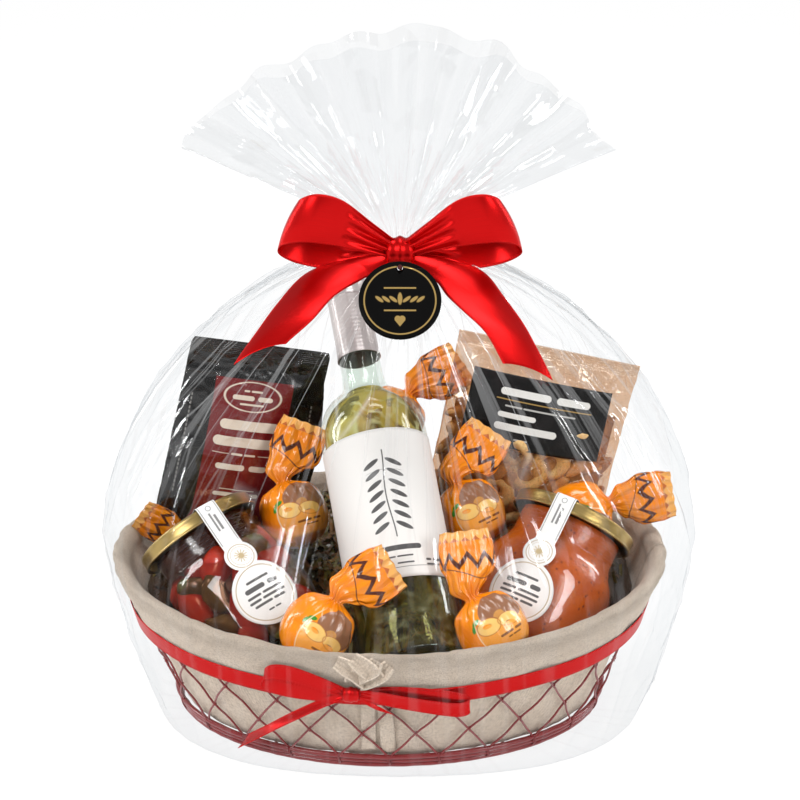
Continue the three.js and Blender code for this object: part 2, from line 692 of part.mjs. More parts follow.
// Sweet: a rounded body, a pinched neck and a flattened pleated fan that bends to one side
function sweet(bend, grow = 0) {
  const sides = 8;
  const body = [-0.97, -0.8, -0.3, 0.3, 0.8].map((h) => {
    const r = Math.sqrt(1 - h * h) ** 0.75;
    return { z: h * (SWEET_R[2] + grow), a: SWEET_R[0] * r + grow, b: SWEET_R[1] * r + grow, pleat: 0 };
  });
  const fan = [
    { z: 25, a: 5 + grow, b: 4.6 + grow, pleat: 0 },
    { z: 34, a: 13 + grow, b: 6 + grow, pleat: 0.12 },
    { z: 48, a: 19.5 + grow, b: 5 + grow, pleat: 0.16 },
    { z: 25 + SWEET_FAN + grow, a: 16.5 + grow, b: 2.2 + grow, pleat: 0.2 },
  ];
  const angle = rad(bend);
  return loft([...body, ...fan].map(({ z, a, b, pleat }) =>
    Array.from({ length: sides }, (_, i) => {
      const turn = (2 * Math.PI * (i + 0.5)) / sides;
      const fold = 1 + pleat * (i % 2 ? 1 : -1);
      const point = V(a * Math.cos(turn), b * fold * Math.sin(turn), z);
      if (z < 30) return point;
      const bent = angle * clamp((z - 25) / 16, 0, 1);
      const rise = z - 25;
      return V(
        point.x * Math.cos(bent) + rise * Math.sin(bent),
        point.y,
        25 + rise * Math.cos(bent) - point.x * Math.sin(bent),
      );
    }),
  ));
}

// Bed of shreds: a mound that fills the lining, hollowed where the goods sit, with loose strips on top
function shredBed(spaces) {
  const top = (x, y) => {
    const out = Math.hypot((x - BASKET_X) / RIM_HALF[0], y / RIM_HALF[1]);
    return 92 + 18 * y / RIM_HALF[1] - 14 * out ** 2 + 3 * Math.sin(x / 9) * Math.cos(y / 11);
  };
  const draw = seeded(3);
  const bottom = LINER_FLOOR + CLOTH + GAP;
  const ringAt = (offset, z) => ovalPlaces.map((place) => wallPoint(place, offset, z));
  const cover = [-7, -55].map((offset) =>
    ovalPlaces.map((place) => {
      const under = wallPoint(place, offset, 70);
      return wallPoint(place, offset, top(under.x, under.y) + 2 * (draw() - 0.5));
    }),
  );
  const side = -CLOTH_SIDE[0] - CLOTH - 1.1;
  const mound = loft([[V(BASKET_X, 0, bottom)], ringAt(-14, bottom), ringAt(side, 20), ringAt(side, 48),
    ...cover, [V(BASKET_X, 0, top(BASKET_X, 0))]]);
  const strips = Array.from({ length: 5 }, () => {
    const angle = 2 * Math.PI * draw();
    const out = 0.15 + 0.75 * Math.sqrt(draw());
    const [x, y] = [BASKET_X + 165 * out * Math.cos(angle), 125 * out * Math.sin(angle)];
    const heading = 2 * Math.PI * draw();
    const along = V(Math.cos(heading), Math.sin(heading), 0);
    const route = [-1, 0, 1].map((k) => {
      const point = V(x, y, 0).addScaledVector(along, 13 * k);
      return point.setZ(top(point.x, point.y) + (k === 0 ? 5 : -1));
    });
    const half = V(-along.y, along.x, 0.3).multiplyScalar(1.8);
    return ribbon(route, route.map(() => half), route.map(() => V(0, 0, 1)));
  });
  return cut(union([mound, ...strips]), spaces);
}

// Ribbons

// A ribbon whose width runs along given directions: stations of [point, half width vector]
function ribbonThrough(stations, crown = 0) {
  const points = stations.map(([point]) => V(...point));
  const halves = stations.map(([, half]) => V(...half));
  const normals = points.map((point, i) => {
    const before = points[Math.max(i - 1, 0)];
    const after = points[Math.min(i + 1, points.length - 1)];
    return after.clone().sub(before).cross(halves[i]).normalize();
  });
  return ribbon(points, halves, normals, crown);
}

const mirrored = (stations) => stations.map(([p, h]) => [[-p[0], p[1], p[2]], [-h[0], h[1], h[2]]]);

// A soft block with an eight-sided waist, for a ribbon's knot
function knot(centre, half) {
  const rings = [-1, -0.4, 0.4, 1].map((u) =>
    Array.from({ length: 8 }, (_, i) => {
      const turn = (2 * Math.PI * (i + 0.5)) / 8;
      const swell = 1 - 0.2 * u * u;
      return V(centre[0] + half[0] * u, centre[1] + half[1] * swell * Math.cos(turn),
        centre[2] + half[2] * swell * Math.sin(turn));
    }),
  );
  return loft(rings);
}

// A ribbon end lying on the film, from the plan places of its two edges
function tailOnDome(edges) {
  const side = (lift) =>
    edges.map(([[x0, y0], [x1, y1]], i) =>
      [0, 0.5, 1].map((u) => {
        const rise = i === 0 ? 7 : 3.8 + 2 * (1 - (2 * u - 1) ** 2);
        return onDome(lerp(x0, x1, u), lerp(y0, y1, u), rise + lift);
      }),
    );
  return slab(side(SATIN / 2), side(-SATIN / 2));
}

// Big bow on the neck of the film, with the turn of ribbon that holds the neck
function satinBow() {
  const [y0, z0] = [21, 334];
  const w = BOW_WIDTH / 2;
  const loop = [
    [[-4, y0 - 3, z0 + 2], [0, 0, 7]],
    [[-22, y0 - 9, z0 + 13], [2, 0, 11]],
    [[-43, y0 - 15, z0 + 25], [4, 0, 0.86 * w]],
    [[-62, y0 - 17, z0 + 29], [6, 0, 0.95 * w]],
    [[-75, y0 - 11, z0 + 24], [7, 0, 0.93 * w]],
    [[-77, y0 + 1, z0 + 14], [7, 3, 0.9 * w]],
    [[-65, y0 + 9, z0 + 5], [5, 6, 0.85 * w]],
    [[-43, y0 + 9, z0], [2, 6, 0.75 * w]],
    [[-20, y0 + 5, z0 + 0.5], [0, 3, 8.5]],
    [[-4, y0 + 1, z0 - 1], [0, 0, 7]],
  ];
  const rightLoop = mirrored(loop).map(([p, h]) => [[p[0], p[1], p[2] - 1.5], h]);
  const tailLeft = [
    [[-15, 24], [-5, 18]],
    [[-40, 27], [-20, 10]],
    [[-66, 22], [-28, 6]],
    [[-85, 1], [-45, -6]],
    [[-101, -21], [-60, -23]],
    [[-114, -37], [-78, -35]],
  ];
  const tailRight = [
    [[15, 24], [5, 18]],
    [[38, 25], [18, 10]],
    [[58, 20], [26, 4]],
    [[72, 1], [33, -7]],
    [[85, -17], [45, -20]],
    [[93, -32], [59, -33]],
    [[104, -52], [70, -50]],
  ];
  const turns = Array.from({ length: 16 }, (_, i) => (2 * Math.PI * i) / 16);
  const band = loft(
    turns.map((angle) =>
      [[1.2, -4.5], [2.6, -4.5], [2.6, 4.5], [1.2, 4.5]].map(([out, up]) =>
        V((NECK_HALF[0] + out) * Math.cos(angle), DOME_LEAN + (NECK_HALF[1] + out) * Math.sin(angle),
          FILM_SEAM + up),
      ),
    ),
    true,
  );
  return union([
    ribbonThrough(loop, -2),
    ribbonThrough(rightLoop, 2),
    tailOnDome(tailLeft),
    tailOnDome(tailRight),
    band,
    knot([0, y0 - 1, z0], [9, 8, 9]),
  ]);
}

// Round hang tag, facing forward and up, with a hole near its top edge
const TAG = { x: 0, y: -19.5, z: 311.5, tilt: 40 };

function tagMatrix() {
  const turnTo = new THREE.Quaternion().setFromEuler(new THREE.Euler(rad(90 - TAG.tilt), 0, 0));
  return new THREE.Matrix4().compose(V(TAG.x, TAG.y, TAG.z), turnTo, V(1, 1, 1));
}

function giftTag() {
  const outline = new THREE.Shape().absarc(0, 0, TAG_R, 0, 2 * Math.PI, false);
  outline.holes.push(new THREE.Path().absarc(0, TAG_R - 4.8, 2, 0, 2 * Math.PI, true));
  const plate = new THREE.ExtrudeGeometry(outline, { depth: 0.9, bevelEnabled: false, curveSegments: 11 });
  return closed(plate.translate(0, 0, -0.45)).applyMatrix4(tagMatrix());
}

function tagThread() {
  const hole = V(0, TAG_R - 4.8, 0).applyMatrix4(tagMatrix());
  const outward = V(0, 0, 1).transformDirection(tagMatrix());
  const front = hole.clone().addScaledVector(outward, 2);
  const behind = hole.clone().addScaledVector(outward, -2.4);
  const bead = new THREE.SphereGeometry(1.7, 6, 4);
  bead.translate(front.x, front.y, front.z);
  const line = rod([front, behind, V(0, 9, 322), V(0, 19, 322.6)], 0.6, 6, 5);
  return union([closed(bead), line]);
}

// Narrow ribbon tied round the basket over the lining's flap, with its small bow at the front
function narrowRibbon() {
  const half = BAND_WIDTH / 2;
  const [low, high] = [BAND_HEIGHT - half, BAND_HEIGHT + half];
  const band = loft(ovalPlaces.map((place) => {
    const stand = BAND_STAND * Math.abs(Math.sin(angleAt(place)));
    const section = [[4.8 + stand, low], [5.6 + stand, low], [5.6, high], [4.8, high]];
    return section.map(([offset, z]) => wallPoint(place, offset, z));
  }), true);
  const front = -(FOOT_HALF[1] + (RIM_HALF[1] - FOOT_HALF[1]) * (BAND_HEIGHT / RIM_HEIGHT)) - 9.5;
  const [x0, z0] = [-33, BAND_HEIGHT + 4];
  const w = half;
  const left = [
    [[x0 - 2, front - 1, z0 + 1], [0, 0, 3]],
    [[x0 - 20, front - 2, z0 + 8], [1, 0, 0.9 * w]],
    [[x0 - 42, front + 2, z0 + 14], [1.5, 0, w]],
    [[x0 - 56, front + 6, z0 + 13], [2, 0, w]],
    [[x0 - 59, front + 9, z0 + 6], [1, 1, w]],
    [[x0 - 46, front + 6, z0 + 1], [0, 0, w]],
    [[x0 - 22, front + 2, z0 - 1], [0, 0, 0.9 * w]],
    [[x0 - 2, front + 1, z0], [0, 0, 3]],
  ];
  const right = [
    [[x0 + 2, front - 1, z0 + 1], [0, 0, 3]],
    [[x0 + 20, front - 3, z0 - 2], [0, -1, 0.9 * w]],
    [[x0 + 46, front - 3.5, z0 - 7], [0, -1.5, w]],
    [[x0 + 72, front - 2.5, z0 - 11], [0, -1, w]],
    [[x0 + 80, front + 0.5, z0 - 8], [0, 0, w]],
    [[x0 + 62, front, z0 - 3], [0, 0, w]],
    [[x0 + 30, front + 0.5, z0], [0, 0, 0.9 * w]],
    [[x0 + 2, front + 1, z0], [0, 0, 3]],
  ];
  const tail = [
    [[x0 - 1, front - 1, z0], [2, 0, 3]],
    [[x0 - 20, front + 1, z0 - 8], [3, 0, 0.9 * w]],
    [[x0 - 44, front + 12, z0 - 26], [3.5, 0, w]],
    [[x0 - 63, front + 26, z0 - 44], [4, 0, w]],
    [[x0 - 76, front + 43, z0 - 60], [4, 0, w]],
  ];
  const stub = [
    [[x0 + 1, front, z0], [-2, 0, 3]],
    [[x0 + 12, front - 1, z0 - 7], [-4, 0, 4]],
    [[x0 + 24, front, z0 - 13], [-5, 0, 3]],
  ];
  const seat = loft([
    [V(x0 - 5, front + 5.2, z0 - 4), V(x0 + 5, front + 5.2, z0 - 4), V(x0 + 5, front + 5.2, z0 - 0.5),
      V(x0 - 5, front + 5.2, z0 - 0.5)],
    [V(x0 - 5, front - 1, z0 - 4), V(x0 + 5, front - 1, z0 - 4), V(x0 + 5, front - 1, z0 - 0.5),
      V(x0 - 5, front - 1, z0 - 0.5)],
  ]);
  return union([
    band,
    ribbonThrough(left),
    ribbonThrough(right),
    ribbonThrough(tail),
    ribbonThrough(stub),
    seat,
    knot([x0, front - 1, z0], [5.5, 4, 5]),
  ]);
}

// Knot of linen strips on the front of the flap
function linerTie() {
  const folds = [
    { x: -35, z: 100, a: 9, c: 9, lean: 30 },
    { x: -25, z: 97, a: 11, c: 7, lean: -35 },
    { x: -14, z: 101, a: 10, c: 6, lean: 25 },
    { x: -23, z: 90, a: 9, c: 6, lean: 10 },
  ];
  const pieces = folds.map(({ x, z, a, c, lean }) => {
    const angle = -Math.acos((x - BASKET_X) / RIM_HALF[0]);
    const seat = wallPoint(placeAt(angle), 9, z);
    const fold = new THREE.SphereGeometry(1, 7, 5).scale(a, 3.2, c);
    return closed(fold.rotateY(rad(lean)).rotateX(WALL_LEAN).translate(x, seat.y, seat.z));
  });
  return union(pieces);
}

// Assembly

const RED_WIRE = 0x6e1418;
const LINEN = 0xc9baa4;
const RED_SATIN = 0xc4161c;
const GOLD = 0xb9a05a;
const GLASS = { transparent: true, opacity: 0.3 };

addMesh(root, 'basket_frame', basketFrame(), RED_WIRE, 0.35, 0.2);
addMesh(root, 'linen_liner', linenLiner(), LINEN, 0.95);
addMesh(root, 'liner_tie', linerTie(), LINEN, 0.95);
addMesh(root, 'narrow_ribbon', narrowRibbon(), RED_SATIN, 0.35);

const bottle = groupOf('bottle');
addMesh(bottle, 'bottle_glass', bottleGlass(), 0xdfe6d8, 0.05, 0, GLASS);
addMesh(bottle, 'bottle_wine', bottleWine(), 0xd6cf7a, 0.1, 0, GLASS);
addMesh(bottle, 'bottle_capsule', bottleCapsule(), 0xd8d0d0, 0.25, 0.1);
addMesh(bottle, 'bottle_label', bottleLabel(), 0xf2f1ee, 0.7);

for (const side of ['left', 'right']) {
  const jar = groupOf(`jar_${side}`);
  addMesh(jar, `jar_${side}_glass`, jarGlass(), 0xe6ece8, 0.05, 0, GLASS);
  addMesh(jar, `jar_${side}_lid`, jarLid(), GOLD, 0.3, 0.9);
  addMesh(jar, `jar_${side}_seal`, jarSeal(), 0xf0efec, 0.6);
  if (side === 'left') addMesh(jar, 'jar_left_peppers', pepperHeap(), 0x8e2a1c, 0.3);
  else addMesh(jar, 'jar_right_spread', jarSpread(), 0xb4500f, 0.4);
}

const bottleRoom = placed('bottle', bottleRoomShape());
const jarRooms = ['jar_left', 'jar_right'].map((name) => placed(name, jarSpace()));
const rigid = [bottleRoom, ...jarRooms];
const insideFilm = solid(loft(bagRings(FILM + 2 * GAP)));
const fitted = (geometry, tools) => shape(solid(cut(geometry, tools)).intersect(insideFilm));

const pouchRoom = placed('nut_pouch', nutPouch(GAP * 2));
const bagRoom = placed('biscuit_bag', biscuitBag(GAP * 2 + 3));
addMesh(root, 'nut_pouch', fitted(placed('nut_pouch', nutPouch()), rigid), 0x5a1a1c, 0.3);
addMesh(root, 'biscuit_bag', fitted(placed('biscuit_bag', biscuitBag()), rigid), 0xc79a62, 0.35);
addMesh(root, 'biscuit_bag_label', fitted(placed('biscuit_bag', bagLabel()), rigid), 0x1d1b1b, 0.5);

const sweetRooms = [];
for (let i = 1; i <= 7; i++) {
  const name = `sweet_${i}`;
  const { bend } = PLACES[name];
  const tools = [...rigid, pouchRoom, bagRoom, ...sweetRooms];
  addMesh(root, name, fitted(placed(name, sweet(bend)), tools), 0xf08a1c, 0.35);
  sweetRooms.push(placed(name, sweet(bend, GAP * 2)));
}

addMesh(root, 'shred_filling', shredBed([...rigid, pouchRoom, bagRoom, ...sweetRooms]), 0x3a2a1a, 0.4);
addMesh(root, 'satin_bow', satinBow(), RED_SATIN, 0.3);
addMesh(root, 'gift_tag', giftTag(), 0x0f0f10, 0.5);
addMesh(root, 'tag_thread', tagThread(), 0x2a0d0e, 0.8);
const CLEAR_FILM = { transparent: true, opacity: 0.2 };
addMesh(root, 'cellophane_wrap', filmBag(), 0xf4f8fa, 0.05, 0, CLEAR_FILM);
addMesh(root, 'cellophane_fan', filmFan(), 0xf4f8fa, 0.05, 0, CLEAR_FILM);

export default root;
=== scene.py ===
"""Gift basket under clear film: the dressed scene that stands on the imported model."""

import logging
import math
import random
from dataclasses import dataclass, replace
from enum import Enum
from functools import reduce
from itertools import accumulate
from typing import Any, Callable, Sequence, Union

import bmesh
import bpy
from mathutils import Matrix, Vector, noise
from mathutils.bvhtree import BVHTree


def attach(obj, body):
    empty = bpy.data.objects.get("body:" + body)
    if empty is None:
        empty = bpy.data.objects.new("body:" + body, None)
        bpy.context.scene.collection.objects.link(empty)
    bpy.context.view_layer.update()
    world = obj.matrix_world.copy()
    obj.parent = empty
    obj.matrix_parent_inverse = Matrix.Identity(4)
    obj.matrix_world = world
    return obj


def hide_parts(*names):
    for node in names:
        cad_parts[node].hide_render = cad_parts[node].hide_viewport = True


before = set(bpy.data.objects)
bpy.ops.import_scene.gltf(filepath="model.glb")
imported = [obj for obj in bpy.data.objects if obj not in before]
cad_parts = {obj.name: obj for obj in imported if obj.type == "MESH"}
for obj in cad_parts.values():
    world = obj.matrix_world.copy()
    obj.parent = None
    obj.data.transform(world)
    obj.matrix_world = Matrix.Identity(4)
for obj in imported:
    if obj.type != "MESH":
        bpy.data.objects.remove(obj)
LOG = logging.getLogger("gift_basket")
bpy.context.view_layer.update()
MM = 0.001  # a millimetre in metres
CHART = 100.0  # millimetres in one unit of a chart
TAU = 2 * math.pi

Colour = tuple[float, float, float, float]
Pair = tuple[float, float]
Triple = tuple[float, float, float]
Socket = bpy.types.NodeSocket
Material = bpy.types.Material
Place = Callable[[float, float], Vector]
Chart = Callable[[float, float], Pair]
Relief = Callable[[float, float, Vector], float]


def linear(red: float, green: float, blue: float) -> Colour:
    """A colour from its screen values of 0 to 255."""
    return (*[(value / 255) ** 2.2 for value in (red, green, blue)], 1.0)


def eased(points: Sequence[Vector], along: float) -> Vector:
    """A point of the smooth curve through points.

    Args:
        points: the points that the curve passes.
        along: the place on the curve, from 0 to 1.

    Returns:
        The point at that place.
    """
    spans = len(points) - 1
    at = min(max(along, 0.0), 1.0) * spans
    first = min(int(at), spans - 1)
    t = at - first
    b, c = points[first], points[first + 1]
    a = points[first - 1] if first > 0 else b * 2 - c
    d = points[first + 2] if first + 2 <= spans else c * 2 - b
    square, cube = 2 * a - 5 * b + 4 * c - d, 3 * b - a - 3 * c + d
    return 0.5 * (2 * b + (c - a) * t + square * t * t + cube * t ** 3)


def ridge(point: Vector, across: float, along: float, seed: float) -> float:
    """A crease height from 0 to 1, sharp at the top, in a pattern across by along millimetres."""
    spot = Vector((point.x / across, point.y / across, point.z / along + seed))
    return 1 - min(1.0, abs(noise.noise(spot)) * 2.6)


def raised(place: Place, relief: Relief) -> Place:
    """A surface moved along its own normal.

    Args:
        place: the surface to start from.
        relief: the height in millimetres over it at (u, v, point).

    Returns:
        The raised surface.
    """
    step = 1e-3

    def moved(u: float, v: float) -> Vector:
        """The raised point at (u, v).

        Args:
            u: the share of the way round.
            v: the share of the way up.

        Returns:
            The point, in millimetres.
        """
        point = place(u, v)
        v_step = step if v < 0.99 else -step
        side_u = (place(u + step, v) - point) / step
        side_v = (place(u, v + v_step) - point) / v_step
        normal = side_u.cross(side_v)
        if normal.length < 1e-6:
            return point
        return point + normal.normalized() * relief(u, v, point)

    return moved


# Materials


class Signal:
    """A number that changes over a surface and takes plain arithmetic."""

    def __init__(self, recipe: "Recipe", socket: Socket) -> None:
        """Wraps an output socket of the recipe's tree."""
        self.recipe = recipe
        self.socket = socket

    def __add__(self, other: "Number") -> "Signal":
        """The sum."""
        return self.recipe.math("ADD", self, other)

    def __sub__(self, other: "Number") -> "Signal":
        """The difference."""
        return self.recipe.math("SUBTRACT", self, other)

    def __rsub__(self, other: "Number") -> "Signal":
        """The difference from a number."""
        return self.recipe.math("SUBTRACT", other, self)

    def __mul__(self, other: "Number") -> "Signal":
        """The product."""
        return self.recipe.math("MULTIPLY", self, other)

    def __truediv__(self, other: "Number") -> "Signal":
        """The quotient."""
        return self.recipe.math("DIVIDE", self, other)

    def __pow__(self, other: "Number") -> "Signal":
        """The power."""
        return self.recipe.math("POWER", self, other)

    __radd__ = __add__
    __rmul__ = __mul__

    def size(self) -> "Signal":
        """The value without its sign."""
        return self.recipe.math("ABSOLUTE", self)

    def wave(self, length: float) -> "Signal":
        """A sine of the value with that wavelength, from -1 to 1."""
        return self.recipe.math("SINE", self * (TAU / length))

    def part(self, length: float) -> "Signal":
        """The place inside steps of that length, from 0 to 1."""
        return self.recipe.math("FRACT", self / length)

    def most(self, other: "Number") -> "Signal":
        """The larger of two values."""
        return self.recipe.math("MAXIMUM", self, other)

    def above(self, edge: float, blur: float = 0.2) -> "Signal":
        """1 where the value is over the edge and 0 under it, with a soft step."""
        return self.recipe.math("MULTIPLY", (self - (edge - blur)), 0.5 / blur, clamp=True)

    def below(self, edge: float, blur: float = 0.2) -> "Signal":
        """1 where the value is under the edge and 0 over it, with a soft step."""
        return 1 - self.above(edge, blur)

    def between(self, low: float, high: float, blur: float = 0.2) -> "Signal":
        """1 where the value is from low to high."""
        return self.above(low, blur) * self.below(high, blur)


Number = Union[Signal, float]


class Recipe:
    """The node tree of one material."""

    def __init__(self, name: str) -> None:
        """Starts an empty material.

        Args:
            name: the material's name.
        """
        self.material = bpy.data.materials.new(name)
        self.material.use_nodes = True
        self.tree = self.material.node_tree
        self.tree.nodes.clear()

    def node(self, kind: str, settings: dict[str, Any] | None = None,
             sockets: dict[Any, Any] | None = None) -> bpy.types.Node:
        """Adds a node.

        Args:
            kind: the node's type without its ShaderNode prefix.
            settings: the node's own settings, set first.
            sockets: values or links for its inputs, by name or number.

        Returns:
            The new node.
        """
        made = self.tree.nodes.new("ShaderNode" + kind)
        for key, value in (settings or {}).items():
            setattr(made, key, value)
        for key, value in (sockets or {}).items():
            if isinstance(value, Signal):
                value = value.socket
            if isinstance(value, Socket):
                self.tree.links.new(value, made.inputs[key])
            else:
                made.inputs[key].default_value = value
        return made

    def math(self, operation: str, *values: Number, clamp: bool = False) -> Signal:
        """Adds a Math node on the values."""
        made = self.node("Math", {"operation": operation, "use_clamp": clamp}, dict(enumerate(values)))
        return Signal(self, made.outputs[0])

    def flat(self) -> tuple[Signal, Signal]:
        """The place on the piece's chart, in millimetres."""
        x, y, _ = self.parts(self.chart_vector())
        return x, y

    def chart_vector(self, across: float = 1.0, along: float = 1.0) -> Socket:
        """The chart place in millimetres as a vector, stretched by the two numbers."""
        spot = self.node("UVMap", {"uv_map": "chart"}).outputs[0]
        return self.node("VectorMath", {"operation": "MULTIPLY"},
                         {0: spot, 1: (CHART * across, CHART * along, 0)}).outputs[0]

    def solid_vector(self, turn: Matrix | None = None) -> Socket:
        """The place in the object, in millimetres.

        Args:
            turn: the place of a piece whose own frame it is seen from.

        Returns:
            The vector's socket.
        """
        spot = self.node("TexCoord").outputs["Object"]
        spot = self.node("VectorMath", {"operation": "SCALE"}, {0: spot, "Scale": 1 / MM}).outputs[0]
        if turn is None:
            return spot
        back = turn.inverted()
        sockets = {"Vector": spot, "Location": back.translation, "Rotation": back.to_euler()}
        return self.node("Mapping", {"vector_type": "POINT"}, sockets).outputs[0]

    def parts(self, vector: Socket) -> tuple[Signal, Signal, Signal]:
        """The three numbers of a vector."""
        made = self.node("SeparateXYZ", None, {0: vector})
        return tuple(Signal(self, socket) for socket in made.outputs)

    def noise(self, vector: Socket, size: float, detail: float = 2.0, bend: float = 0.0,
              space: str = "3D") -> Signal:
        """Soft noise from 0 to 1 with patches of that size in millimetres."""
        made = self.node("TexNoise", {"noise_dimensions": space},
                         {"Vector": vector, "Scale": 1 / size, "Detail": detail, "Distortion": bend})
        return Signal(self, made.outputs[0])

    def cells(self, vector: Socket, size: float) -> Signal:
        """The distance from the points of cells of that size in millimetres."""
        made = self.node("TexVoronoi", {"feature": "F1"}, {"Vector": vector, "Scale": 1 / size})
        return Signal(self, made.outputs["Distance"])

    def facets(self, vector: Socket, size: float) -> Signal:
        """The distance from the edges of flat facets of that size in millimetres, on a chart."""
        made = self.node("TexVoronoi", {"feature": "DISTANCE_TO_EDGE", "voronoi_dimensions": "2D"},
                         {"Vector": vector, "Scale": 1 / size})
        return Signal(self, made.outputs["Distance"])

    def facing(self, blend: float) -> Signal:
        """How far a glossy or clear surface turns its side to the view, from 0 to 1."""
        return Signal(self, self.node("LayerWeight", None, {"Blend": blend}).outputs["Facing"])

    def mix(self, share: Number, one: Any, other: Any) -> Socket:
        """Colour one where share is 0 and colour other where it is 1."""
        return self.node("Mix", {"data_type": "RGBA"}, {0: share, 6: one, 7: other}).outputs[2]

    def layers(self, ground: Socket, *coats: tuple[Number, Colour]) -> Socket:
        """Lays colours over a ground colour in turn.

        Args:
            ground: the colour below all.
            coats: a share and a colour for each layer.

        Returns:
            The colour that shows.
        """
        for share, tone in coats:
            ground = self.mix(share, ground, tone)
        return ground

    def bump(self, height: Signal, depth: float) -> Socket:
        """A normal from a height of 0 to 1 that is depth millimetres high."""
        return self.node("Bump", None, {"Height": height, "Distance": depth * MM, "Strength": 1.0}).outputs[0]

    def clear(self, tint: Colour) -> Socket:
        """A clear shader that tints what shows through it."""
        return self.node("BsdfTransparent", None, {"Color": tint}).outputs[0]

    def principled(self, **sockets: Any) -> Socket:
        """A Principled shader; a name's underscores stand for spaces."""
        named = {key.replace("_", " "): value for key, value in sockets.items()}
        return self.node("BsdfPrincipled", None, named).outputs[0]

    def blend(self, share: Number, one: Socket, other: Socket) -> Socket:
        """Shader one where share is 0 and shader other where it is 1."""
        return self.node("MixShader", None, {0: share, 1: one, 2: other}).outputs[0]

    def done(self, shader: Socket) -> Material:
        """Ends the tree in the shader and returns the material."""
        self.node("OutputMaterial", None, {"Surface": shader})
        return self.material


# Print: soft-edged shapes on a chart, in millimetres


@dataclass(frozen=True)
class Print:
    """Shapes printed on a surface, from its chart place in millimetres."""

    x: Signal
    y: Signal

    def seen_from(self, x: float, y: float, turn: float) -> tuple[Signal, Signal]:
        """The place seen from a point.

        Args:
            x: the point's place across.
            y: its place along.
            turn: how far the view's axes are turned, in degrees.

        Returns:
            The distances across and along.
        """
        cos, sin = math.cos(math.radians(turn)), math.sin(math.radians(turn))
        dx, dy = self.x - x, self.y - y
        return dx * cos + dy * sin, dy * cos - dx * sin

    def away(self, x: float, y: float, turn: float = 0.0, wide: float = 1.0, high: float = 1.0) -> Signal:
        """The distance from a point, in units of an ellipse's half sizes."""
        across, along = self.seen_from(x, y, turn)
        return span(across / wide, along / high)

    def oval(self, x: float, y: float, wide: float, high: float, turn: float = 0.0) -> Signal:
        """A filled ellipse with those half sizes."""
        return self.away(x, y, turn, wide, high).below(1.0, 0.25 / min(wide, high))

    def hoop(self, x: float, y: float, wide: float, high: float, line: float, turn: float = 0.0) -> Signal:
        """An ellipse drawn as a line."""
        least = min(wide, high)
        return (self.away(x, y, turn, wide, high) - 1.0).size().below(0.5 * line / least, 0.2 / least)

    def bar(self, x: float, y: float, wide: float, high: float, turn: float = 0.0) -> Signal:
        """A filled rectangle with those half sizes."""
        across, along = self.seen_from(x, y, turn)
        return across.size().below(wide) * along.size().below(high)

    def pill(self, x: float, y: float, wide: float, high: float) -> Signal:
        """A filled bar with round ends."""
        across = ((self.x - x).size() - (wide - high)).most(0.0)
        return span(across, self.y - y).below(high, 0.15)

    def words(self, x: float, y: float, wide: float, high: float, *shares: float) -> Signal:
        """A line of round bars that stands for words.

        Args:
            x: the line's middle.
            y: its height.
            wide: half of its width.
            high: half of the bars' height.
            shares: each bar's share of the width.

        Returns:
            The mask of the bars.
        """
        gap = 1.6 * high
        room = 2 * wide - gap * (len(shares) - 1)
        start, bars = x - wide, []
        for share in shares:
            length = room * share / sum(shares)
            bars.append(self.pill(start + length / 2, y, length / 2, high))
            start += length + gap
        return either(*bars)


def span(across: Signal, along: Signal) -> Signal:
    """The length of a step across and along."""
    return (across * across + along * along) ** 0.5


def either(*masks: Signal) -> Signal:
    """The union of masks."""
    return reduce(Signal.most, masks)


# Finishes


@dataclass(frozen=True)
class Lacquer:
    """Glossy dark red lacquer on wire."""

    tone: Colour = linear(118, 26, 30)

    def make(self) -> Material:
        """Builds the material.

        Returns:
            The material, its nodes linked.
        """
        r = Recipe("red_lacquer")
        spot = r.solid_vector()
        patches = r.noise(spot, 9.0, 3.0)
        worn = r.noise(spot, 1.6, 2.0).above(0.66, 0.05)
        colour = r.layers(
            r.mix(patches, self.tone, linear(146, 40, 42)),
            (worn * 0.5, linear(70, 16, 18)))
        return r.done(r.principled(Base_Color=colour, Roughness=patches * 0.2 + 0.22, Coat_Weight=0.3,
                                   Normal=r.bump(r.noise(spot, 2.2, 3.0), 0.12)))


@dataclass(frozen=True)
class Linen:
    """Plain woven natural linen with slubs."""

    tone: Colour = linear(252, 234, 214)
    thread: float = 1.3

    def make(self) -> Material:
        """Builds the material.

        Returns:
            The material, its nodes linked.
        """
        r = Recipe("linen")
        x, y = r.flat()
        warp, weft = x.wave(self.thread), y.wave(self.thread)
        weave = (warp * weft) * 0.5 + 0.5
        slubs = either(r.noise(r.chart_vector(0.14, 1.6), 1.0, 3.0).above(0.6, 0.1),
                       r.noise(r.chart_vector(1.6, 0.14), 1.0, 3.0).above(0.6, 0.1))
        patches = r.noise(r.chart_vector(), 26.0, 4.0)
        speckle = r.noise(r.chart_vector(), 1.6, 2.0)
        colour = r.layers(
            r.mix(patches.above(0.5, 0.25), linear(234, 214, 192), self.tone),
            (slubs * 0.45, linear(176, 156, 136)),
            (weave.below(0.36, 0.2) * 0.4, linear(146, 126, 108)),
            (speckle.above(0.55, 0.07) * 0.3, linear(160, 140, 120)))
        height = weave * 0.6 + slubs * 0.5 + speckle * 0.3
        return r.done(r.principled(Base_Color=colour, Roughness=0.95, Sheen_Weight=0.15,
                                   Normal=r.bump(height, 0.6)))


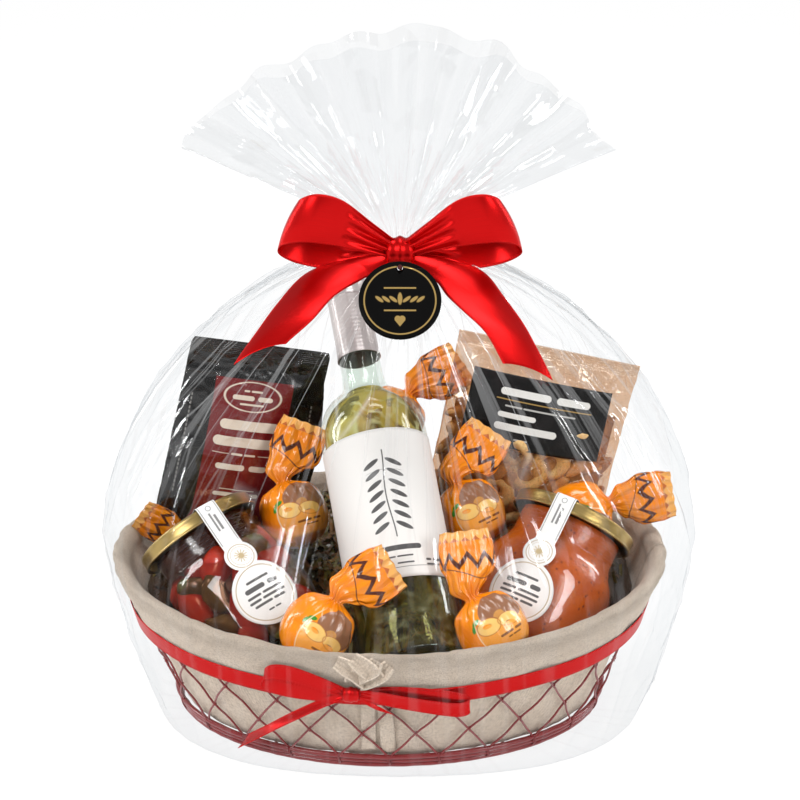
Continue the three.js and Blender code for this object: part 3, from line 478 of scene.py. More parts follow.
@dataclass(frozen=True)
class Satin:
    """Red satin ribbon with stitched edges."""

    name: str
    half_width: float
    tone: Colour = linear(214, 8, 12)

    def make(self) -> Material:
        """Builds the material.

        Returns:
            The material, its nodes linked.
        """
        r = Recipe(self.name)
        x, y = r.flat()
        edge = y.size().above(self.half_width - 1.5, 0.25)
        stitch = x.wave(1.7) * 0.5 + 0.5
        ribs = r.noise(r.chart_vector(0.05, 2.4), 1.0, 2.0)
        colour = r.layers(
            r.mix(ribs, self.tone, linear(190, 4, 8)),
            (edge * stitch * 0.4, linear(214, 44, 42)))
        soft = r.noise(r.chart_vector(0.6, 1.0), 26.0, 1.0)
        height = edge * (stitch * 0.8 + 0.2) + ribs * 0.12 + soft * 5.0
        return r.done(r.principled(Base_Color=colour, Roughness=ribs * 0.08 + 0.3 + edge * 0.2, Metallic=0.8,
                                   Anisotropic=0.4, Normal=r.bump(height, 0.22)))


@dataclass(frozen=True)
class ClearWall:
    """Clear glass wall: what lies behind shows through, and it mirrors more at its edges, where its
    reflection is painted dark.
    """

    name: str
    tint: Colour
    strength: float = 0.75

    def make(self) -> Material:
        """Builds the material.

        Returns:
            The material, its nodes linked.
        """
        r = Recipe(self.name)
        edge = r.facing(0.32)
        through = r.clear(self.tint)
        wavy = r.bump(r.noise(r.solid_vector(), 16.0, 1.0), 0.25)
        # Painted dark reflection: the mirror colour turns nearly black where the glass turns its side to the
        # view.
        tone = r.mix(edge.above(0.8, 0.12), (0.93, 0.95, 0.94, 1), (0.2, 0.22, 0.2, 1))
        mirror = r.principled(Base_Color=tone, Metallic=1.0, Roughness=0.05, Normal=wavy)
        share = edge ** 3.0 * self.strength + 0.035
        return r.done(r.blend(share, through, mirror))


@dataclass(frozen=True)
class Film:
    """Clear crinkled film: thin, with mirror-like folds and painted white highlight streaks along its
    creases.
    """

    def make(self) -> Material:
        """Builds the material.

        Returns:
            The material, its nodes linked.
        """
        r = Recipe("clear_film")
        spot = r.solid_vector()
        edge = r.facing(0.4)
        _, _, z = r.parts(spot)
        upper = z.above(215.0, 60.0)
        open_end = z.above(350.0, 12.0)
        pulls = r.facets(r.chart_vector(1.0, 0.12), 32.0)
        facets = r.facets(r.chart_vector(0.8, 1.0), 62.0)
        streaks = r.noise(r.chart_vector(1.0, 0.012), 8.0, 2.0, 0.0, "2D")
        wide = r.noise(r.chart_vector(0.35, 0.02), 8.0, 1.0, 0.0, "2D")
        body = 1 - open_end
        # Painted highlights: where crease is high the film turns white and opaque in thin streaks.
        crease = either(
            streaks.above(0.6, 0.04) * (upper * 0.5 + 0.1) * body,
            wide.above(0.6, 0.05) * open_end * 0.5,
            pulls.below(0.012, 0.01) * upper * body)
        height = pulls * (upper * 0.8 * body + 0.12) + facets * (open_end * 1.7 + 0.1)
        height = height + streaks * upper * body * 0.25 + wide * open_end * 1.2
        clear = r.clear((0.982, 0.984, 0.986, 1))
        grey = r.clear((0.86, 0.875, 0.885, 1))
        through = r.blend(either(edge ** 1.5 * 0.8, open_end * 0.4), clear, grey)
        # Where crease is high the mirror stops being metal, so the painted highlight streaks show white.
        mirror = r.principled(Base_Color=(0.97, 0.975, 0.98, 1), Metallic=1 - crease, Roughness=0.085,
                              Normal=r.bump(height, 2.6))
        share = edge ** 5.0 * 0.34 + 0.006 + crease * 0.32 + open_end * 0.035
        return r.done(r.blend(share, through, mirror))


@dataclass(frozen=True)
class Wine:
    """Clear pale yellow drink, with a painted glow in the bottle's shoulder, painted dark edges and dark
    refraction patches, and painted glints.
    """

    turn: Matrix

    def make(self) -> Material:
        """Builds the material.

        Returns:
            The material, its nodes linked.
        """
        r = Recipe("pale_wine")
        edge = r.facing(0.3)
        # Painted highlights: glints are small bright patches.
        glints = r.noise(r.solid_vector(), 18.0, 2.0, 1.2).above(0.6, 0.08)
        through = r.clear((0.88, 0.82, 0.46, 1))
        # Painted shade: the edges and the low parts of this noise turn dark, standing in for dark things seen
        # through the wine.
        folds = r.noise(r.solid_vector(), 20.0, 1.0, 0.8)
        dark = either(edge.above(0.6, 0.15), folds.below(0.47, 0.05))
        tone = r.layers(
            r.mix(dark, linear(228, 200, 98), linear(84, 66, 24)),
            (glints, linear(250, 244, 186)))
        body = r.principled(Base_Color=tone, Roughness=0.12, Coat_Weight=0.4)
        # Painted light: the shoulder shows more of the bright body, as if lit from behind.
        _, _, z = r.parts(r.solid_vector(self.turn))
        lit = z.above(120.0, 40.0)
        return r.done(r.blend(edge * 0.35 + 0.05 + lit * 0.36 + glints * 0.1, through, body))


@dataclass(frozen=True)
class Capsule:
    """Pale foil of a bottle's neck, drawn into fine upright folds."""

    turn: Matrix

    def make(self) -> Material:
        """Builds the material.

        Returns:
            The material, its nodes linked.
        """
        r = Recipe("capsule_foil")
        x, y, z = r.parts(r.solid_vector(self.turn))
        angle = r.math("ARCTAN2", y, x)
        folds = angle.wave(0.35)
        band = z.between(285.0, 286.2, 0.3)
        colour = r.layers(
            r.mix(r.noise(r.solid_vector(), 18.0), linear(178, 168, 166), linear(206, 197, 194)),
            (band * 0.5, linear(150, 130, 132)))
        return r.done(r.principled(Base_Color=colour, Metallic=0.3, Roughness=0.34, Coat_Weight=0.3,
                                   Normal=r.bump(folds * 0.3 + z.wave(3.1) * 0.12 + band, 0.2)))


@dataclass(frozen=True)
class BottlePaper:
    """White label with thin arcs, a dark leafy sprig and bars in place of words."""

    def make(self) -> Material:
        """Builds the material.

        Returns:
            The material, its nodes linked.
        """
        r = Recipe("bottle_label_paper")
        x, y = r.flat()
        ink = Print(x, y)
        arcs = either(ink.hoop(0, 102, 34, 30, 0.5), ink.hoop(0, 102, 37, 33, 0.35)) * y.above(133.0)
        stem = (x - (y * 0.09).wave(6.0) * 1.2).size().below(0.45) * y.between(84.0, 150.0)
        lean = y.part(8.0) * 8.0 - 4.0
        side = x.size()
        leaf_along = (side - 8.0) * 0.86 + lean * -0.5
        leaf_across = (side - 8.0) * 0.5 + lean * 0.86
        leaf = ((leaf_along / 6.4) ** 2.0 + (leaf_across / 1.7) ** 2.0).below(1.0, 0.15)
        leaf = leaf * y.between(88.0, 144.0)
        words = either(
            ink.words(0, 76, 17, 1.9, 1), ink.words(0, 69.5, 10, 0.6, 2, 3), ink.bar(0, 61.5, 24, 0.2),
            ink.words(4, 64.5, 6, 0.6, 1), ink.words(26, 66, 7, 0.9, 1, 2), ink.words(25, 62.5, 6, 0.7, 3, 1))
        dark = either(stem, leaf, words)
        paper = r.noise(r.chart_vector(), 1.2, 3.0)
        colour = r.layers(
            r.mix(paper * 0.3, linear(240, 237, 233), linear(228, 225, 220)),
            (arcs * 0.7, linear(120, 118, 116)),
            (dark * 0.92, linear(34, 32, 34)))
        return r.done(r.principled(Base_Color=colour, Roughness=0.62 - dark * 0.25,
                                   Normal=r.bump(paper + dark * 0.6, 0.05)))


@dataclass(frozen=True)
class GoldLid:
    """Brushed gold lacquer of a jar's lid."""

    name: str
    turn: Matrix

    def make(self) -> Material:
        """Builds the material.

        Returns:
            The material, its nodes linked.
        """
        r = Recipe(self.name)
        spot = r.solid_vector(self.turn)
        x, y, z = r.parts(spot)
        brushed = r.noise(r.node("CombineXYZ", None, {0: span(x, y) * 3.0, 1: z * 3.0}).outputs[0], 1.0, 3.0)
        wide = r.noise(spot, 22.0, 2.0)
        colour = r.layers(
            r.mix(brushed, linear(206, 180, 118), linear(158, 130, 76)),
            (wide.above(0.52, 0.1) * 0.5, linear(104, 84, 42)))
        return r.done(r.principled(Base_Color=colour, Metallic=0.9, Roughness=brushed * 0.12 + 0.27,
                                   Normal=r.bump(brushed, 0.05)))


@dataclass(frozen=True)
class SealPaper:
    """White paper seal with edge lines, a plain round ornament, a gold ring and bars in place of words."""

    def make(self) -> Material:
        """Builds the material.

        Returns:
            The material, its nodes linked.
        """
        r = Recipe("seal_paper")
        x, y = r.flat()
        ink = Print(x, y)
        low, high = JarSeal.low_centre, JarSeal.high_centre
        ring = ink.hoop(0, low, 20.5, 20.5, 0.7)
        edges = (x.size() - 6.4).size().below(0.3) * y.above(high + 12.5, 0.6)
        star = either(*[ink.bar(0, high, 5.0, 0.45, 30.0 * k) for k in range(6)])
        medal = either(
            ink.hoop(0, high, 9.2, 9.2, 0.6), ink.hoop(0, high, 7.4, 7.4, 0.3), ink.oval(0, high, 2.2, 2.2))
        words = either(ink.words(0, low + 11, 9, 0.9, 1), ink.words(0, low + 5.6, 13, 1.7, 2, 1),
                       ink.words(0, low + 0.6, 14, 0.9, 2, 3), ink.words(0, low - 3.0, 14.5, 0.9, 1, 2),
                       ink.words(0, low - 6.6, 12.5, 0.9, 3, 2), ink.words(0, low - 12.4, 5, 0.6, 1, 1))
        strip = either(ink.bar(-1.6, high + 31, 0.7, 7.5), ink.bar(1.4, high + 30, 0.9, 6.2),
                       ink.hoop(0, high + 42, 1.8, 1.8, 0.5))
        paper = r.noise(r.chart_vector(), 1.1, 3.0)
        colour = r.layers(
            r.mix(paper * 0.3, linear(248, 247, 245), linear(238, 236, 232)),
            (either(ring, medal) * 0.85, linear(176, 148, 98)),
            (star * 0.8, linear(196, 172, 126)),
            (either(edges * 0.7, words * 0.9, strip * 0.75), linear(38, 36, 38)))
        return r.done(r.principled(Base_Color=colour, Roughness=0.5, Normal=r.bump(paper, 0.04)))


@dataclass(frozen=True)
class WetSkin:
    """Wet skin of a preserved pepper or olive, or of brine: two tones and a glossy coat."""

    name: str
    tone: Colour
    second: Colour
    patch: float = 12.0

    def make(self) -> Material:
        """Builds the material.

        Returns:
            The material, its nodes linked.
        """
        r = Recipe(self.name)
        spot = r.solid_vector()
        patches = r.noise(spot, self.patch, 3.0, 0.4)
        dots = r.noise(spot, 1.4, 2.0)
        colour = r.layers(
            r.mix(patches.above(0.5, 0.16), self.tone, self.second),
            (dots.above(0.62, 0.08) * 0.25, linear(60, 22, 12)))
        return r.done(r.principled(Base_Color=colour, Roughness=0.24, Coat_Weight=0.6, Coat_Roughness=0.08,
                                   Subsurface_Weight=0.1, Subsurface_Scale=0.003,
                                   Normal=r.bump(patches * 0.7 + dots * 0.2, 0.6)))


@dataclass(frozen=True)
class Brine:
    """Burgundy liquid that tints what lies in it, with painted dark brown shade in the jar's neck."""

    turn: Matrix

    def make(self) -> Material:
        """Builds the material.

        Returns:
            The material, its nodes linked.
        """
        r = Recipe("dark_brine")
        cloud = r.noise(r.solid_vector(), 20.0, 3.0, 0.5)
        through = r.clear((0.88, 0.62, 0.5, 1))
        body = r.principled(Base_Color=r.mix(cloud, linear(44, 18, 12), linear(70, 28, 16)), Roughness=0.12)
        _, _, z = r.parts(r.solid_vector(self.turn))
        # Painted shade: above height 81 the brine turns nearly opaque dark brown, as the shade under the lid.
        share = cloud.above(0.56, 0.12) * 0.1 + 0.02 + z.above(81.0, 1.5) * 0.86
        return r.done(r.blend(share, through, body))


@dataclass(frozen=True)
class Spread:
    """Smooth orange-brown vegetable spread with dark specks."""

    def make(self) -> Material:
        """Builds the material.

        Returns:
            The material, its nodes linked.
        """
        r = Recipe("vegetable_spread")
        spot = r.solid_vector()
        cloud = r.noise(spot, 16.0, 4.0, 0.6)
        grain = r.noise(spot, 2.4, 3.0)
        specks = r.cells(spot, 5.5).below(0.16, 0.05)
        colour = r.layers(
            r.mix(cloud.above(0.5, 0.2), linear(186, 78, 10), linear(200, 92, 16)),
            (grain.above(0.6, 0.1) * 0.35, linear(150, 62, 14)),
            (specks * 0.8, linear(84, 34, 12)))
        return r.done(r.principled(Base_Color=colour, Roughness=0.25, Coat_Weight=0.3, Subsurface_Weight=0.1,
                                   Subsurface_Scale=0.004, Normal=r.bump(grain + cloud, 0.35)))


@dataclass(frozen=True)
class PouchFoil:
    """Glossy black foil with a maroon middle, an oval outline, cream bars in place of words and painted pale
    highlight dashes near its sides.
    """

    def make(self) -> Material:
        """Builds the material.

        Returns:
            The material, its nodes linked.
        """
        r = Recipe("pouch_foil")
        x, y = r.flat()
        ink = Print(x, y)
        below = (34 - y).most(0.0)
        spread = below * below * 0.022
        panel = (x.size() - spread).below(29.0, 0.3) * y.below(133.0, 0.3)
        badge = either(
            ink.hoop(0, 121, 21, 10.5, 0.8), ink.words(0, 125, 7, 0.7, 1, 2),
            ink.words(0, 120, 15, 1.7, 3, 2), ink.words(0, 115.4, 9, 0.7, 1))
        words = either(
            ink.words(1, 100, 22, 3.6, 1), ink.words(-1, 87.5, 23, 3.6, 1), ink.words(0, 78.4, 9, 0.8, 1, 1),
            ink.bar(-17, 78.4, 6, 0.25), ink.bar(17, 78.4, 6, 0.25), ink.words(0, 68.5, 19, 2.1, 5, 3),
            ink.words(0, 47.5, 17, 1.5, 1), ink.bar(0, 51.5, 13, 0.3), ink.words(0, 42.8, 11, 0.6, 2, 3),
            ink.words(0, 40.4, 9, 0.5, 3, 2))
        # Painted highlights: broken pale upright lines near both sides stand in for glossy reflections.
        side = (x.size() - 44.0).size().below(0.5) * y.between(40.0, 118.0)
        side = side * y.part(3.4).between(0.1, 0.75, 0.08)
        seal = y.above(149.5, 0.3)
        ribs = y.wave(1.5) * seal
        wrinkles = r.noise(r.chart_vector(), 13.0, 3.0, 0.8)
        colour = r.layers(
            r.mix(panel, linear(10, 9, 10), linear(116, 28, 30)),
            (either(badge, words) * 0.9, linear(240, 226, 206)),
            (side * 0.45, linear(190, 186, 180)))
        return r.done(r.principled(Base_Color=colour, Roughness=wrinkles * 0.12 + 0.2, Coat_Weight=0.5,
                                   Coat_Roughness=0.12, Normal=r.bump(wrinkles * 0.7 + ribs * 0.12, 1.1)))


@dataclass(frozen=True)
class BagFilm:
    """Clear film of the biscuit bag, with soft crinkles, painted pale highlight lines along its creases and a
    ribbed top seal.
    """

    def make(self) -> Material:
        """Builds the material.

        Returns:
            The material, its nodes linked.
        """
        r = Recipe("bag_film")
        edge = r.facing(0.4)
        x, y = r.flat()
        folds = r.noise(r.chart_vector(), 16.0, 3.0, 0.8)
        seal = y.above(BiscuitBag.height - 9.0, 0.4)
        # Painted highlights: where crease is high the film turns pale and opaque in thin lines.
        crease = r.facets(r.chart_vector(), 13.0).below(0.03, 0.03) * folds.above(0.5, 0.1)
        normal = r.bump(folds + crease * 0.3 + y.wave(1.6) * seal * 0.1, 1.8)
        clear = r.clear((0.96, 0.91, 0.85, 1))
        tan = r.clear((0.78, 0.56, 0.4, 1))
        bare = either(y.above(126.0, 12.0), x.size().above(50.0, 6.0), edge ** 3.0)
        through = r.blend(bare * (folds * 0.6 + 0.4), clear, tan)
        mirror = r.principled(
            Base_Color=(0.96, 0.84, 0.7, 1), Metallic=1 - crease * 0.8, Roughness=0.16, Normal=normal)
        share = edge ** 4.0 * 0.4 + 0.06 + crease * 0.12 + seal * 0.1 + bare * 0.06
        return r.done(r.blend(share, through, mirror))


@dataclass(frozen=True)
class Baked:
    """Baked or roasted skin: a pale ground, browned high spots and fine blisters."""

    name: str
    pale: Colour
    brown: Colour

    def make(self) -> Material:
        """Builds the material.

        Returns:
            The material, its nodes linked.
        """
        r = Recipe(self.name)
        spot = r.solid_vector()
        patches = r.noise(spot, 9.0, 4.0, 0.4)
        grain = r.noise(spot, 1.3, 3.0)
        colour = r.layers(
            r.mix(patches.above(0.52, 0.2), self.pale, self.brown),
            (grain.above(0.6, 0.08) * 0.4, linear(120, 74, 34)))
        return r.done(r.principled(Base_Color=colour, Roughness=0.55, Normal=r.bump(grain + patches, 0.35)))


@dataclass(frozen=True)
class BlackCard:
    """Black printed card with pale bars in place of words and a thin gold line."""

    def make(self) -> Material:
        """Builds the material.

        Returns:
            The material, its nodes linked.
        """
        r = Recipe("black_card")
        x, y = r.flat()
        ink = Print(x, y)
        words = either(
            ink.words(4, 132, 33, 2.6, 3, 2), ink.words(-14, 115.5, 14, 1.9, 1),
            ink.words(-6, 107, 23, 2.6, 1))
        small = either(ink.words(2, 122.0, 26, 0.6, 1, 2, 1), ink.words(-8, 99.0, 5, 0.6, 1))
        line = ink.bar(4, 126.4, 35, 0.4)
        grain = r.noise(r.chart_vector(), 1.0, 2.0)
        sheen = r.noise(r.chart_vector(), 24.0, 3.0, 0.6).above(0.56, 0.1) * 0.6
        colour = r.layers(
            r.mix(sheen, linear(11, 10, 10), linear(44, 40, 40)),
            (either(words * 0.95, small * 0.6), linear(238, 236, 230)),
            (line * 0.9, linear(180, 146, 84)))
        return r.done(r.principled(Base_Color=colour, Roughness=0.36, Specular_IOR_Level=0.3,
                                   Normal=r.bump(grain * 0.05 + sheen, 0.6)))


@dataclass(frozen=True)
class SweetWrap:
    """Glossy orange wrapper: printed biscuits, a brown see-through patch and a brown zigzag on the fan."""

    def make(self) -> Material:
        """Builds the material.

        Returns:
            The material, its nodes linked.
        """
        r = Recipe("sweet_wrap")
        x, y = r.flat()
        ink = Print(x, y)
        inside = ink.oval(30, -2, 40, 40) * x.below(28.0, 0.8)
        window = ink.oval(13, 10, 17, 11.5, -8) * y.above(-1.0, 0.4) * inside
        peach = y.between(-18.0, 4.0, 0.4) * (1 - window) * inside
        line = ink.hoop(30, -2, 40, 40, 0.8) * y.between(-16.0, 18.0, 2.0)
        ring = ink.oval(-1.5, 2.6, 7.4, 5.6, -12) * (1 - ink.oval(-2.2, 3.4, 2.8, 1.5, -12))
        nut = ink.oval(12, 0.6, 7.6, 4.6, -14) * (1 - ink.oval(10.6, -3.6, 4.4, 3.2, -14))
        crumb = ink.oval(7.5, 5.6, 4.2, 3.4, 30) * (1 - either(ink.oval(-1.5, 2.6, 8.0, 6.2, -12), nut))
        outline = either(ink.hoop(-1.5, 2.6, 7.4, 5.6, 0.6, -12), ink.hoop(12, 0.6, 7.6, 4.6, 0.5, -14))
        leaf = either(ink.oval(-7.5, 9.5, 3.0, 1.5, 20), ink.oval(-10.5, 6.0, 1.3, 2.6, -20))
        words = either(ink.words(10, -7.4, 8.5, 0.8, 3, 2), ink.words(11, -10.4, 5, 0.5, 1, 2))
        foot = y.below(-16.5, 1.0) * x.between(-6.0, 28.0, 1.5)
        bend = (x.part(14.5) - 0.5).size() * 17.0 + x.wave(9.0) * 0.5
        zigzag = (y - bend - 46.5).size().below(2.3, 0.4)
        thin = (y + x.wave(90.0) * 5.0 - 41.0).size().below(0.35) * y.between(33.0, 48.0)
        border = y.above(64.0, 0.4)
        teeth = (y - (x.part(9.0) - 0.5).size() * 7.0 - 63.5).below(0.0, 0.3) * border
        glaze = r.noise(r.chart_vector(), 20.0, 3.0, 0.5)
        gathers = r.facets(r.chart_vector(1.0, 0.3), 9.0) * y.above(14.0, 10.0)
        facets = r.facets(r.chart_vector(), 17.0)
        folds = gathers + facets * 0.5 + r.noise(r.chart_vector(2.0, 0.5), 9.0, 2.0, 0.6) * 0.3
        colour = r.layers(
            r.mix(glaze.above(0.5, 0.3), linear(255, 156, 6), linear(252, 128, 3)),
            (window * 0.9, linear(134, 98, 78)),
            (peach * 0.95, linear(250, 168, 72)),
            (foot * 0.7, linear(112, 58, 24)),
            (crumb * 0.9, linear(214, 150, 78)),
            (either(ring, nut), linear(252, 204, 116)),
            (outline * 0.7, linear(186, 104, 40)),
            (leaf, linear(54, 140, 44)),
            (line * 0.7, linear(255, 232, 190)),
            (words * 0.85, linear(92, 46, 20)),
            (border * 0.8, linear(255, 190, 104)),
            (either(zigzag, thin), linear(86, 38, 18)),
            (teeth * 0.8, linear(186, 70, 26)))
        return r.done(r.principled(Base_Color=colour, Roughness=0.14 + glaze * 0.08, Coat_Weight=0.5,
                                   Coat_Roughness=0.06, Normal=r.bump(folds, 2.8)))


@dataclass(frozen=True)
class ShredPaper:
    """Glossy shreds in two given tones: brown or olive for the strips, and dark brown for the bed, where it
    is painted shade.
    """

    name: str
    tone: Colour
    second: Colour

    def make(self) -> Material:
        """Builds the material.

        Returns:
            The material, its nodes linked.
        """
        r = Recipe(self.name)
        spot = r.solid_vector()
        tufts = r.noise(spot, 14.0, 3.0)
        fine = r.noise(spot, 1.5, 3.0)
        colour = r.mix(tufts.above(0.5, 0.15), self.tone, self.second)
        return r.done(r.principled(Base_Color=colour, Roughness=0.2, Coat_Weight=0.5,
                                   Normal=r.bump(fine + tufts, 0.9)))


@dataclass(frozen=True)
class TagCard:
    """Black round tag with a gold ring, a gold scroll ornament and a small heart."""

    def make(self) -> Material:
        """Builds the material.

        Returns:
            The material, its nodes linked.
        """
        r = Recipe("tag_card")
        x, y = r.flat()
        ink = Print(x, y)
        ring = (ink.away(0, 0) - 24.6).size().below(0.45)
        bars = either(ink.bar(0, 9.0, 11, 0.5), ink.bar(0, -7.4, 11, 0.5))
        leaves = either(*[ink.oval(side * away, 0.8, 3.1, 1.15, side * 38)
                          for side in (-1, 1) for away in (4.6, 9.6, 14.2)])
        drop = ink.oval(0, 1.2, 1.5, 4.2)
        lobes = either(ink.oval(-1.5, -13.4, 2.1, 2.1), ink.oval(1.5, -13.4, 2.1, 2.1))
        point = (x.size() - (y + 19.0) * 0.78).below(0.0, 0.25) * y.between(-19.0, -14.2, 0.15)
        gold = either(ring, bars, leaves, drop, lobes, point)
        grain = r.noise(r.chart_vector(), 0.8, 2.0)
        colour = r.mix(gold, linear(6, 5, 5), linear(206, 172, 106))
        return r.done(r.principled(Base_Color=colour, Metallic=gold * 0.8, Roughness=0.5 - gold * 0.2,
                                   Specular_IOR_Level=0.08,
                                   Normal=r.bump(grain * 0.4 + gold * 0.5, 0.06)))


@dataclass(frozen=True)
class Thread:
    """Dark twisted thread."""

    def make(self) -> Material:
        """Builds the material.

        Returns:
            The material, its nodes linked.
        """
        r = Recipe("tag_thread")
        x, y, z = r.parts(r.solid_vector())
        twist = (x + y + z).wave(0.8) * 0.5 + 0.5
        colour = r.mix(twist, linear(60, 22, 22), linear(96, 34, 34))
        return r.done(r.principled(Base_Color=colour, Roughness=0.8, Normal=r.bump(twist, 0.15)))


# Making and placing


class Slot(Enum):
    """Material slots of the record."""

    WIRE = "red_wire"
    LINEN = "linen"
    SATIN = "red_satin"
    BOTTLE = "bottle_glass"
    WINE = "pale_wine"
    CAPSULE = "capsule"
    PAPER = "white_paper"
    JAR = "jar_glass"
    LID = "gold_lid"
    PEPPERS = "peppers"
    SPREAD = "spread"
    POUCH = "pouch_foil"
    BISCUITS = "biscuits_in_film"
    CARD = "black_card"
    SWEET = "sweet_wrap"
    SHREDS = "paper_shreds"
    TAG = "tag_card"
    THREAD = "thread"
    FILM = "clear_film"


class Workpiece:
    """A mesh in the making, in millimetres, with a chart of its surface."""

    def __init__(self) -> None:
        """Starts an empty mesh."""
        self.mesh = bmesh.new()
        self.chart = self.mesh.loops.layers.uv.new("chart")

    def sheet(self, columns: int, rows: int, place: Place,
              chart: Chart | None = None) -> list[bmesh.types.BMVert]:
        """Lays a grid on a surface.

        Args:
            columns: faces along u.
            rows: faces along v.
            place: the point in space at (u, v), both from 0 to 1.
            chart: the chart place in millimetres at (u, v).

        Returns:
            The new vertices.
        """
        chart = chart or (lambda u, v: (u * CHART, v * CHART))
        made = bmesh.ops.create_grid(self.mesh, x_segments=columns, y_segments=rows, size=0.5)["verts"]
        spots = {vert: (vert.co.x + 0.5, vert.co.y + 0.5) for vert in made}
        for face in {face for vert in made for face in vert.link_faces}:
            for loop in face.loops:
                x, y = chart(*spots[loop.vert])
                loop[self.chart].uv = (x / CHART, y / CHART)
        for vert, (u, v) in spots.items():
            vert.co = place(u, v)
        return made

    def turned(self, profile: Sequence[Pair], steps: int) -> None:
        """Spins a profile round Z and turns its faces outward.

        Args:
            profile: the profile's points as (radius, height).
            steps: how many steps the full turn has.
        """
        verts = [self.mesh.verts.new((radius, 0, height)) for radius, height in profile]
        edges = [self.mesh.edges.new(pair) for pair in zip(verts, verts[1:])]
        before = set(self.mesh.verts) - set(verts)
        bmesh.ops.spin(self.mesh, geom=verts + edges, cent=(0, 0, 0), axis=(0, 0, 1), angle=TAU, steps=steps,
                       use_merge=True)
        made = [vert for vert in self.mesh.verts if vert not in before]
        bmesh.ops.remove_doubles(self.mesh, verts=made, dist=1e-4)
        self.face_outward()

    def face_outward(self) -> None:
        """Turns all faces outward."""
        bmesh.ops.recalc_face_normals(self.mesh, faces=self.mesh.faces)

    def tubes(self, paths: Sequence[Sequence[Vector]], radius: float, closed: bool, sides: int) -> None:
        """Adds round tubes along paths.

        Args:
            paths: the points of each tube's middle line.
            radius: the tubes' radius.
            closed: whether each path ends where it starts.
            sides: a quarter of the tube's faces round it, less one.
        """
        data = bpy.data.curves.new("tubes", "CURVE")
        data.dimensions = "3D"
        data.bevel_depth = radius
        data.bevel_resolution = sides
        data.use_fill_caps = True
        for path in paths:
            line = data.splines.new("POLY")
            line.points.add(len(path) - 1)
            line.use_cyclic_u = closed
            for spot, point in zip(line.points, path):
                spot.co = (*point, 1.0)
        holder = bpy.data.objects.new("tubes", data)
        bpy.context.collection.objects.link(holder)
        made = holder.evaluated_get(bpy.context.evaluated_depsgraph_get()).to_mesh()
        self.mesh.from_mesh(made)
        bpy.data.objects.remove(holder)
        bpy.data.curves.remove(data)

    def lay_down(self, made: Sequence[bmesh.types.BMVert], spot: Vector, *turns: tuple[str, float]) -> None:
        """Turns vertices about the origin and moves them to their place.

        Args:
            made: the vertices.
            spot: their place.
            turns: each turn's axis and its angle, the last one done first.
        """
        for axis, angle in reversed(turns):
            bmesh.ops.rotate(self.mesh, verts=made, matrix=Matrix.Rotation(angle, 3, axis))
        bmesh.ops.translate(self.mesh, verts=made, vec=spot)

    def weld(self, gap: float = 1e-3) -> None:
        """Joins vertices that lie on each other."""
        bmesh.ops.remove_doubles(self.mesh, verts=self.mesh.verts, dist=gap)

    def finish(self, name: str, materials: Sequence[Material], nodes: Sequence[str], slot: Slot,
               turn: Matrix | None = None, thick: float = 0.0,
               sharp: float | None = None) -> bpy.types.Object:
        """Makes the object, places it and hands it to the frame.

        Args:
            name: the piece's name.
            materials: its materials, by slot number.
            nodes: the CAD nodes that it stands for.
            slot: the record's material slot; not used.
            turn: the place of the piece, in millimetres.
            thick: the thickness that a sheet gets, in millimetres.
            sharp: the angle in degrees over which an edge stays sharp.

        Returns:
            The finished object.
        """
        bmesh.ops.transform(self.mesh, matrix=Matrix.Scale(MM, 4) @ (turn or Matrix.Identity(4)),
                            verts=self.mesh.verts)
        data = bpy.data.meshes.new(name)
        for face in self.mesh.faces:
            face.smooth = True
        self.mesh.to_mesh(data)
        self.mesh.free()
        for material in materials:
            data.materials.append(material)
        if sharp is not None:
            data.set_sharp_from_angle(angle=math.radians(sharp))
        piece = bpy.data.objects.new(name, data)
        bpy.context.collection.objects.link(piece)
        if thick:
            shell = piece.modifiers.new("thickness", "SOLIDIFY")
            shell.thickness = thick * MM
            shell.offset = 0.0
        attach(piece, "root")
        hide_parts(*nodes)
        LOG.info("%s: %d faces", name, len(data.polygons))
        return piece


@dataclass(frozen=True)
class Spot:
    """Where one thing stands in the basket, with its lean back, roll to the right and turn in degrees."""

    at: Triple
    lean: float
    roll: float
    turn: float = 0.0
    bend: float = 0.0
    squash: Triple = (1, 1, 1)

    @property
    def matrix(self) -> Matrix:
        """The thing's place, in millimetres.

        Returns:
            The matrix from the thing's frame to the scene's.
        """
        place = Matrix.Translation(self.at)
        for axis, angle in (("X", -self.lean), ("Y", self.roll), ("Z", self.turn)):
            place = place @ Matrix.Rotation(math.radians(angle), 4, axis)
        return place @ Matrix.Diagonal((*self.squash, 1))


SPOTS = {
    "bottle": Spot((11.4, -104, 72), 45.6, -9.9),
    "jar_left": Spot((-86.4, -61, 60.8), 35.4, -33.5, 16.3),
    "jar_right": Spot((79.5, -58, 59.8), 36.7, 25.4, -13.4),
    "nut_pouch": Spot((-134.8, 51.5, 94.8), 1.4, 12.9, 14.3),
    "biscuit_bag": Spot((74, 49, 84), 4.3, 12),
    "sweet_1": Spot((-76.5, 12.5, 135.5), 27.8, -17.8, bend=38),
    "sweet_2": Spot((-57, -117.5, 108.5), 16, 33, bend=26),
    "sweet_3": Spot((51, 2, 141), 24, -26, bend=60),
    "sweet_4": Spot((63, -109, 105.5), 26, -33, bend=26),
    "sweet_5": Spot((-7, 95, 175), 34, 36, bend=20),
    "sweet_6": Spot((129.5, 26, 129), 8, 70, bend=10),
    "sweet_7": Spot((-141, 36, 93), -10, -49, bend=-8, squash=(0.8, 0.55, 0.85)),
}


